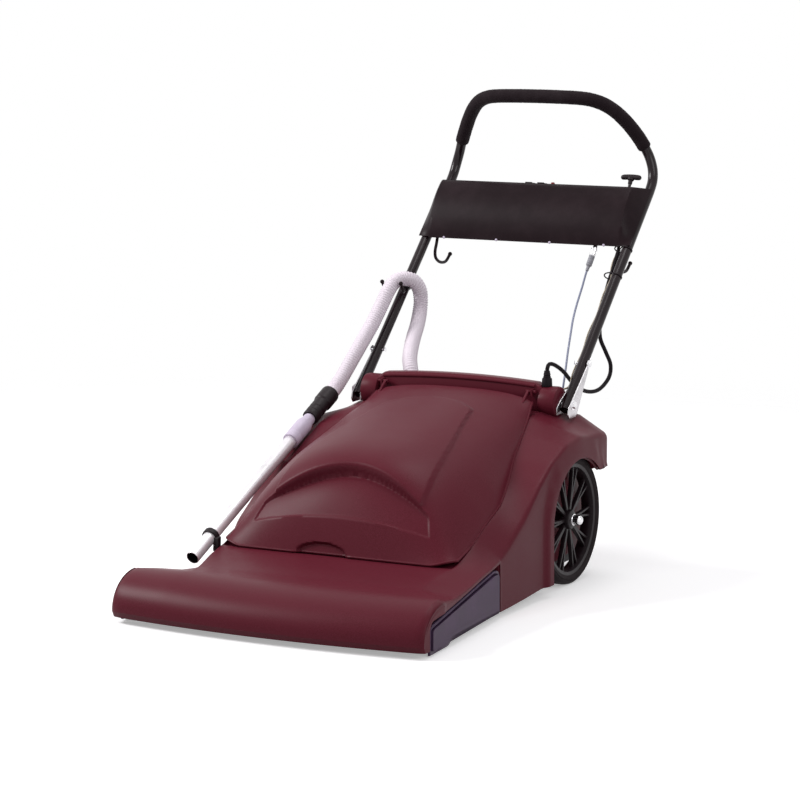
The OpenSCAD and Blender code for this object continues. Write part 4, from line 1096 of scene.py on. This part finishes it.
def switch_tray():
    tray = block("tray", (-56, 1392, 884), (56, 1421, 886), 0.6)
    sides = [block("side", (x, 1391, 884), (x + 3, 1422, 902), 0.6) for x in (-57, 54)]
    bezel = [block("bezel", (x - 13, 1397, 899), (x + 13, 1427, 902.5), 1.2) for x in (-30, 4)]
    for b, x in zip(bezel, (-30, 4)):
        carve(b, block("b", (x - 10.4, 1399.4, 890), (x + 10.4, 1424.6, 910)))
    return join("switch_tray", tray, *sides, *bezel)


dress(switch_tray(), "black_moulded", "machine")
for name, x, body in (("vacuum_rocker", -30, "switch_vacuum"), ("brush_rocker", 4, "switch_brush")):
    rocker = outline(name, [(1401.2, 911), (1406, 909), (1412, 908), (1418, 907.2),
                            (1422.6, 906.8), (1422.6, 898), (1401.2, 898)], "X", x - 9.6, x + 9.6,
                     1.0)
    dress(rocker, "black_moulded", body,
          "vacuum_switch" if x < 0 else "brush_switch")
dress(turned("breaker_cap", [(0, 5), (11, 5), (12.4, 4.2), (13, 2.5)], (34, 1412, 898), (0, 0, 1),
             24), "reset_red", "breaker", "breaker_button")


def rear_cover():
    """Service cover on the back wall, with louvres for the motors' air."""
    cover = block("rear_cover", (-160, 1041, 100), (160, 1046, 232), 3.0, 3)
    slats = [outline("slat", [(1045, 124 + 16 * k), (1049.5, 120 + 16 * k), (1049.5, 122.5 + 16 * k),
                              (1045, 131 + 16 * k)], "X", -118, 118, 0.6) for k in range(6)]
    return join("rear_cover", cover, *slats)


dress(rear_cover(), "black_moulded", "machine")
dress(screws("rear_screws", [((x, 1045.6, z), (0, 1, 0)) for x in (-146, 146) for z in (114, 218)],
             4.2), "zinc_sheet", "machine")


PULL_FOOT = Vector((245, 1416, 905))
PULL_AXIS = Vector((0, math.sin(math.radians(27)), math.cos(math.radians(27))))


def t_knob():
    stem = turned("stem", [(9, 5), (11, 5.6), (18, 5.6), (20, 8), (24, 9), (27, 8)], PULL_FOOT, PULL_AXIS, 28)
    bar_line = [PULL_FOOT + PULL_AXIS * (27 + 1.5 * (1 - (x / 24) ** 2)) + Vector((x, 0, 0))
                for x in np.linspace(-28, 28, 25)]
    bar = tube("bar", bar_line, lambda t: 6.9 * math.sqrt(max(0.04, 1 - (2 * t - 1) ** 8)), 20)
    return join("pull_grip", stem, bar)


def pull_rod():
    return turned("pull_rod", [(-45, 3.4), (-44, 4), (11, 4)], PULL_FOOT, PULL_AXIS, 24)


dress(t_knob(), "black_moulded", "pull_knob", "t_handle")
dress(pull_rod(), "black_gloss", "pull_knob")


# ---------------------------------------------------------------- hooks
def cord_hook(name):
    line = [(256, 1324, back(1324, 0)), (256, 1332, back(1324, 0) - 8.2), (256, 1326, 752),
            (256, 1317, 730), (256, 1321, 712), (256, 1345, 699), (256, 1376, 698),
            (256, 1400, 714)]
    wire = tube(name + "_w", smooth_line(line, 6), 4.0, 16)
    end = turned(name + "_e", [(-3, 4), (-1, 5.2), (3, 5.4), (5, 4), (6, 1)], (256, 1400, 714),
                 (0, 0.83, 0.55), 20)
    return join(name, wire, end)


dress(both(cord_hook, "cord_wrap_hooks"), "black_satin", "machine", "cord_hooks")


def hose_hook_piece():
    parts = [washer("band", [(0, 12.9), (0, 14.7), (1, 15.1), (21, 15.1), (22, 14.7), (22, 12.9)],
                    tube_at(-273), ALONG, 40)]
    for line in ([(285, 1201.5, 667.3), (277, 1186, 651), (265, 1162, 641), (257, 1142, 645),
                  (257, 1132, 663)],
                 [(285, 1201.5, 667.3), (299, 1190, 655), (312, 1168, 648), (312, 1146, 652),
                  (312, 1134, 665)]):
        parts.append(tube("prong", smooth_line(line, 6), 3.5, 14))
        ball = [(-5.5 * math.cos(a), 5.5 * math.sin(a)) for a in np.linspace(0, math.pi, 13)]
        x, y, z = line[-1]
        parts.append(turned("ball", ball, (x, y - 0.5, z + 2), (0, -0.5, 0.87), 20))
    obj = join("hose_rest", *parts)
    obj.data.transform(Matrix.Scale(-1, 4, (1, 0, 0)))
    obj.data.flip_normals()
    return obj


dress(hose_hook_piece(), "black_satin", "machine", "hose_hook")


# ---------------------------------------------------------------- wand
wand_tube = washer("wand_tube", [(0, 14.6), (0, 15.6), (0.6, 16), (2, 16), (504, 16), (505, 15.6),
                                 (505, 14.6)], WAND_FOOT, WAND_AXIS, 48)
dress(wand_tube, "tube_metal", "machine", "wand")
# a near-black sleeve in the first 60 mm of the wand's bore: painted shade inside its open end
bore_shade = washer("wand_bore_shade", [(0.8, 13.4), (0.8, 14.55), (60, 14.55), (60, 13.4)], WAND_FOOT,
               WAND_AXIS, 40)
dress(bore_shade, "dark_inside", "machine")
swivel = washer("wand_swivel", [(500, 16.1), (499.6, 20), (501, 20.6), (520, 20.6), (521, 20),
                                (524, 20), (525, 20.6), (571, 20.6), (574, 20), (586, 16.4),
                                (592, 15.4), (600, 15.4), (601, 14.2), (624, 14), (624, 12.6),
                                (520, 12.6)], WAND_FOOT, WAND_AXIS, 48)
dress(swivel, "grey_moulded", "machine", "wand_collar")
cuff = washer("cuff", [(605, 14.1), (604.5, 19), (606, 20), (615, 20.4), (616, 19.6), (622, 19.6),
                       (623, 20.4), (632, 20.4), (633, 19.6), (640, 19.6), (641, 20.4),
                       (670, 20.4), (673, 22.6), (676, 23.2), (714, 23.4), (718, 22.8),
                       (718.4, 19.4), (700, 13), (640, 12.6)], WAND_FOOT, WAND_AXIS, 48)
dress(cuff, "black_moulded", "machine", "hose_cuff")


def clip_piece():
    ring = washer("ring", [(83, 16.1), (83, 19.4), (84, 20.2), (96, 20.2), (97, 19.4), (97, 16.1)],
                  WAND_FOOT, WAND_AXIS, 40)
    arm = outline("arm", [(309, 118), (326, 122), (328, 152), (312, 150)], "X", -318, -305, 2.0, 3)
    screw = turned("screw", [(0, 3.6), (3, 3.6), (4.4, 2.4), (4.6, 0.6)], wand_at(90) +
                   Vector((-19, 0, 0)), (-1, 0, 0), 16)
    return join("wand_holder", ring, arm, screw)


dress(clip_piece(), "black_moulded", "machine", "wand_clip")


# ---------------------------------------------------------------- cords and hose
HOSE = [wand_at(718.4), wand_at(746), (-326, 948, 446), (-317, 983, 486), (-309, 1020, 526),
        (-301, 1060, 568), (-294, 1098, 614), (-289, 1123, 646), (-284, 1146, 666),
        (-273, 1168, 673), (-254, 1190, 667), (-244.5, 1207, 645), (-245, 1216, 614),
        (-242, 1204, 583), (-232, 1172, 556), (-218, 1127, 533), (-203, 1084, 510),
        (-187, 1046, 488), (-171, 1022, 463), (-160, 1013, 438), (-158, 1012, 420.3)]
CORD = [(262, 1316, 757), (262, 1300, 736), (263, 1276, 708), (264, 1252, 682),
        (266, 1228, 652), (268, 1206, 620), (270, 1189, 586), (273, 1185, 550),
        (280, 1203, 514), (285, 1221, 480), (283, 1214, 448), (275, 1172, 424),
        (264, 1122, 426), (253, 1074, 450), (245, 1032, 485), (239, 994, 506),
        (234, 972, 510), (232, 966, 496.4)]
CABLE = [(188, 1288, 704), (187, 1278, 688), (186, 1264, 664), (189, 1226, 624),
         (196, 1190, 592), (205, 1158, 562), (218, 1114, 522), (231, 1073, 482),
         (242, 1036, 446), (247, 1018, 414), (248, 1012, 376)]


def free_cord(name, line, radius, look, nodes, sides=14, rib=0.0, pitch=7.0):
    """A cord along a line; rib makes it a corrugated hose."""
    line = [Vector(q) for q in line]
    fine = evenly(line, pitch / 4 if rib else 6.0)
    count = len(fine) - 1

    def swell(t):
        wave = 0.5 + 0.5 * math.cos(math.pi * 0.5 * (round(t * count) % 4))
        return radius - rib * (1 - wave)
    obj = tube(name, fine, swell if rib else radius, sides)
    dress(obj, look, "machine", *nodes, smooth=180 if not rib else 60)
    coarse = evenly(line, 12.0)
    path = [at(q) for q in coarse]
    return obj


hose = free_cord("hose", smooth_line(HOSE, 6), 19.0, "pale_hose", ["suction_hose"],
                 28, 1.7, 6.4)
free_cord("interconnect_lead", smooth_line(CORD, 6), 5.0, "soft_rubber", ["interconnect_cord"])
free_cord("lift_cable", smooth_line(CABLE, 6), 2.7, "cable_sleeve", ["control_cable"])


def fitting_axis():
    foot = Vector(CABLE[0])
    return foot, (Vector((198, 1324, 770)) - foot).normalized()


def fitting(name):
    foot, lean = fitting_axis()
    return turned(name, [(40, 6.2), (40.4, 7.8), (41, 8.2), (49, 8.2), (49.6, 6.4), (53, 6.4),
                         (53.4, 8.4), (60, 8.4), (60.4, 6.4), (74, 6.4), (75, 5.6)],
                  foot, lean, 24)


def fitting_sleeve(name):
    foot, lean = fitting_axis()
    profile = [(-1, 2.8), (0, 4.0), (8, 4.4), (12, 5.0), (13, 6.4), (15, 7.4)]
    for k in range(6):
        profile += [(16 + 4 * k, 7.6), (18.6 + 4 * k, 7.6), (19, 6.9), (19.6, 6.9)]
    profile = sorted(profile) + [(40, 7.6), (40.6, 6)]
    return turned(name, profile, foot, lean, 28)


dress(fitting("cable_nut"), "bright_plate", "machine", "cable_fitting")
dress(fitting_sleeve("cable_sleeve"), "grey_wire", "machine")
boot = turned("lead_boot", [(0, 12.6), (2, 13), (18, 12.2), (20, 11), (20.4, 9.4), (24, 9.2),
                            (25, 8.2), (28, 8.2), (29, 8.9), (31, 8.0), (33, 7.6), (36, 7.4),
                            (38.4, 6.0)], (232, 966, 457.4), (0, 0, 1), 32)
dress(boot, "soft_rubber", "machine", "cord_boot")


def thin_lead(name, offset, sag, look, radius):
    """A lead tied beside the right-hand tube, from the console down to the boss."""
    line = []
    for k, s in enumerate((-96, -120, -150, -180, -207, -260, -320, -380, -440, -500, -545)):
        bulge = sag * math.sin(math.pi * min(1, k / 4)) if k < 5 else sag * 0.3 * (k % 2)
        line.append(tube_at(s) + Vector((offset[0] - bulge, offset[1], offset[2])))
    line += [Vector((258, 996, 447)), Vector((255, 982, 440))]
    return dress(tube(name, smooth_line(line, 5), radius, 10), look, "machine", smooth=180)


def ties():
    parts = []
    for s in (-118, -205):
        c = tube_at(s) + Vector((-9, 0, 2))
        ring = [c + Vector((1, 0, 0)) * math.cos(a) * 23 +
                Vector((0, -math.sin(LEAN), math.cos(LEAN))) * math.sin(a) * 15
                for a in np.linspace(0, 2 * math.pi, 40)]
        parts.append(tube("tie", ring, 1.7, 8))
    return join("lead_ties", *parts)


dress(ties(), "black_moulded", "machine")
thin_lead("leads_pale", (-16, 3, -3), 12, "beige_wire", 1.6)
thin_lead("leads_grey", (-17, 5, -6), 2, "grey_wire", 1.8)

# ---------------------------------------------------------------- the remaining nodes
look_of("base_frame bag_tub suction_duct hose_port", "black_satin")
look_of("console_back", "black_satin")
look_of("motor_deck rear_axle front_roller_brackets deck_pivot_pins", "zinc_sheet")
look_of("lid_hinge_pins", "burgundy_shell")
look_of("bag_collar", "card")
look_of("motor_filter", "filter_pad")
look_of("suction_motors brush_motor", "motor_case")
look_of("suction_fan_left suction_fan_right", "fan_alloy")
look_of("front_roller_left front_roller_right lid_gasket drive_belt mains_gland", "soft_rubber")
look_of("deck_pan", "black_satin")
look_of("brush_bearings brush_pulley", "black_moulded")
look_of("motor_pulley", "zinc_sheet")
look_of("brush_core", "brush_core")


def bag():
    """Paper bag, bulging between its folded edges."""
    rows = []
    for i in range(25):
        t = i / 24
        y = lerp(497, 722, t)
        half = lerp(176, 196, math.sin(math.pi * min(1, t * 1.1)))
        low = 114
        high = lerp(160, 328, ramp(t, 0, 1.05))
        row = []
        for k in range(48):
            a = 2 * math.pi * k / 48
            c, s = math.cos(a), math.sin(a)
            wrinkle = 1 + 0.012 * math.sin(9 * a + 5 * t) + 0.01 * math.sin(23 * t + 4 * a)
            x = math.copysign(abs(c) ** 0.55, c) * half * wrinkle
            z = (low + high) / 2 + math.copysign(abs(s) ** 0.6, s) * (high - low) / 2 * wrinkle
            row.append((x, y, z))
        rows.append(row)
    return grid("paper_bag", rows, loop_cols=True, caps=True)


dress(bag(), "paper", "machine", "dust_bag", smooth=180)


# ---------------------------------------------------------------- room and light
def studio():
    ring = [(4.5 * math.cos(a), 4.5 * math.sin(a), 0) for a in np.linspace(0, 2 * math.pi, 97)[:-1]]
    mesh = bpy.data.meshes.new("floor")
    mesh.from_pydata(ring, [], [tuple(range(96))])
    floor = bpy.data.objects.new("floor", mesh)
    bpy.context.scene.collection.objects.link(floor)
    f = Finish("floor", Roughness=0.95, Specular_IOR_Level=0.0, Emission_Strength=1.0)
    ray = f.node("LightPath")
    seen = (ray("Is Camera Ray") + ray("Is Glossy Ray") + ray("Is Transmission Ray")).min(1.0)
    f.set("Base Color", f.mix(seen, (0.42, 0.42, 0.42), (0.93, 0.93, 0.93)))
    f.set("Emission Color", f.mix(seen, (0, 0, 0), (0.36, 0.36, 0.36)))
    x, y, _ = f.axes()
    f.set("Alpha", ((x * x + y * y) ** 0.5).span(1.5, 3.6, 1.0, 0.0))
    floor.data.materials.append(f.material)
    world = bpy.data.worlds.new("world")
    bpy.context.scene.world = world
    world.use_nodes = True
    tree = world.node_tree
    tree.nodes.clear()
    out = tree.nodes.new("ShaderNodeOutputWorld")
    lit = tree.nodes.new("ShaderNodeBackground")
    lit.inputs[0].default_value, lit.inputs[1].default_value = (0.80, 0.78, 0.82, 1), 0.42
    shown = tree.nodes.new("ShaderNodeBackground")
    shown.inputs[0].default_value, shown.inputs[1].default_value = (1, 1, 1, 1), 1.0
    path = tree.nodes.new("ShaderNodeLightPath")
    total = path.outputs["Is Camera Ray"]
    for kind in ("Is Glossy Ray", "Is Transmission Ray"):
        add = tree.nodes.new("ShaderNodeMath")
        add.operation, add.use_clamp = "ADD", True
        tree.links.new(total, add.inputs[0])
        tree.links.new(path.outputs[kind], add.inputs[1])
        total = add.outputs[0]
    mix = tree.nodes.new("ShaderNodeMixShader")
    tree.links.new(total, mix.inputs[0])
    tree.links.new(lit.outputs[0], mix.inputs[1])
    tree.links.new(shown.outputs[0], mix.inputs[2])
    tree.links.new(mix.outputs[0], out.inputs[0])
    for name, place, size, power, aim in (
            ("key", (-3.4, -1.6, 3.1), 1.8, 150, (0, -0.1, 0.35)),
            ("fill", (3.6, -1.6, 2.4), 2.6, 45, (0.1, 0.2, 0.4)),
            ("top", (0.2, 0.8, 4.4), 2.4, 50, (0, 0, 0.3))):
        data = bpy.data.lights.new(name, "AREA")
        data.shape, data.size, data.energy = "DISK", size, power
        lamp = bpy.data.objects.new(name, data)
        lamp.location = place
        lamp.rotation_euler = (Vector(aim) - Vector(place)).to_track_quat("-Z", "Y").to_euler()
        bpy.context.scene.collection.objects.link(lamp)


studio()
bpy.context.scene.view_settings.view_transform = "Standard"
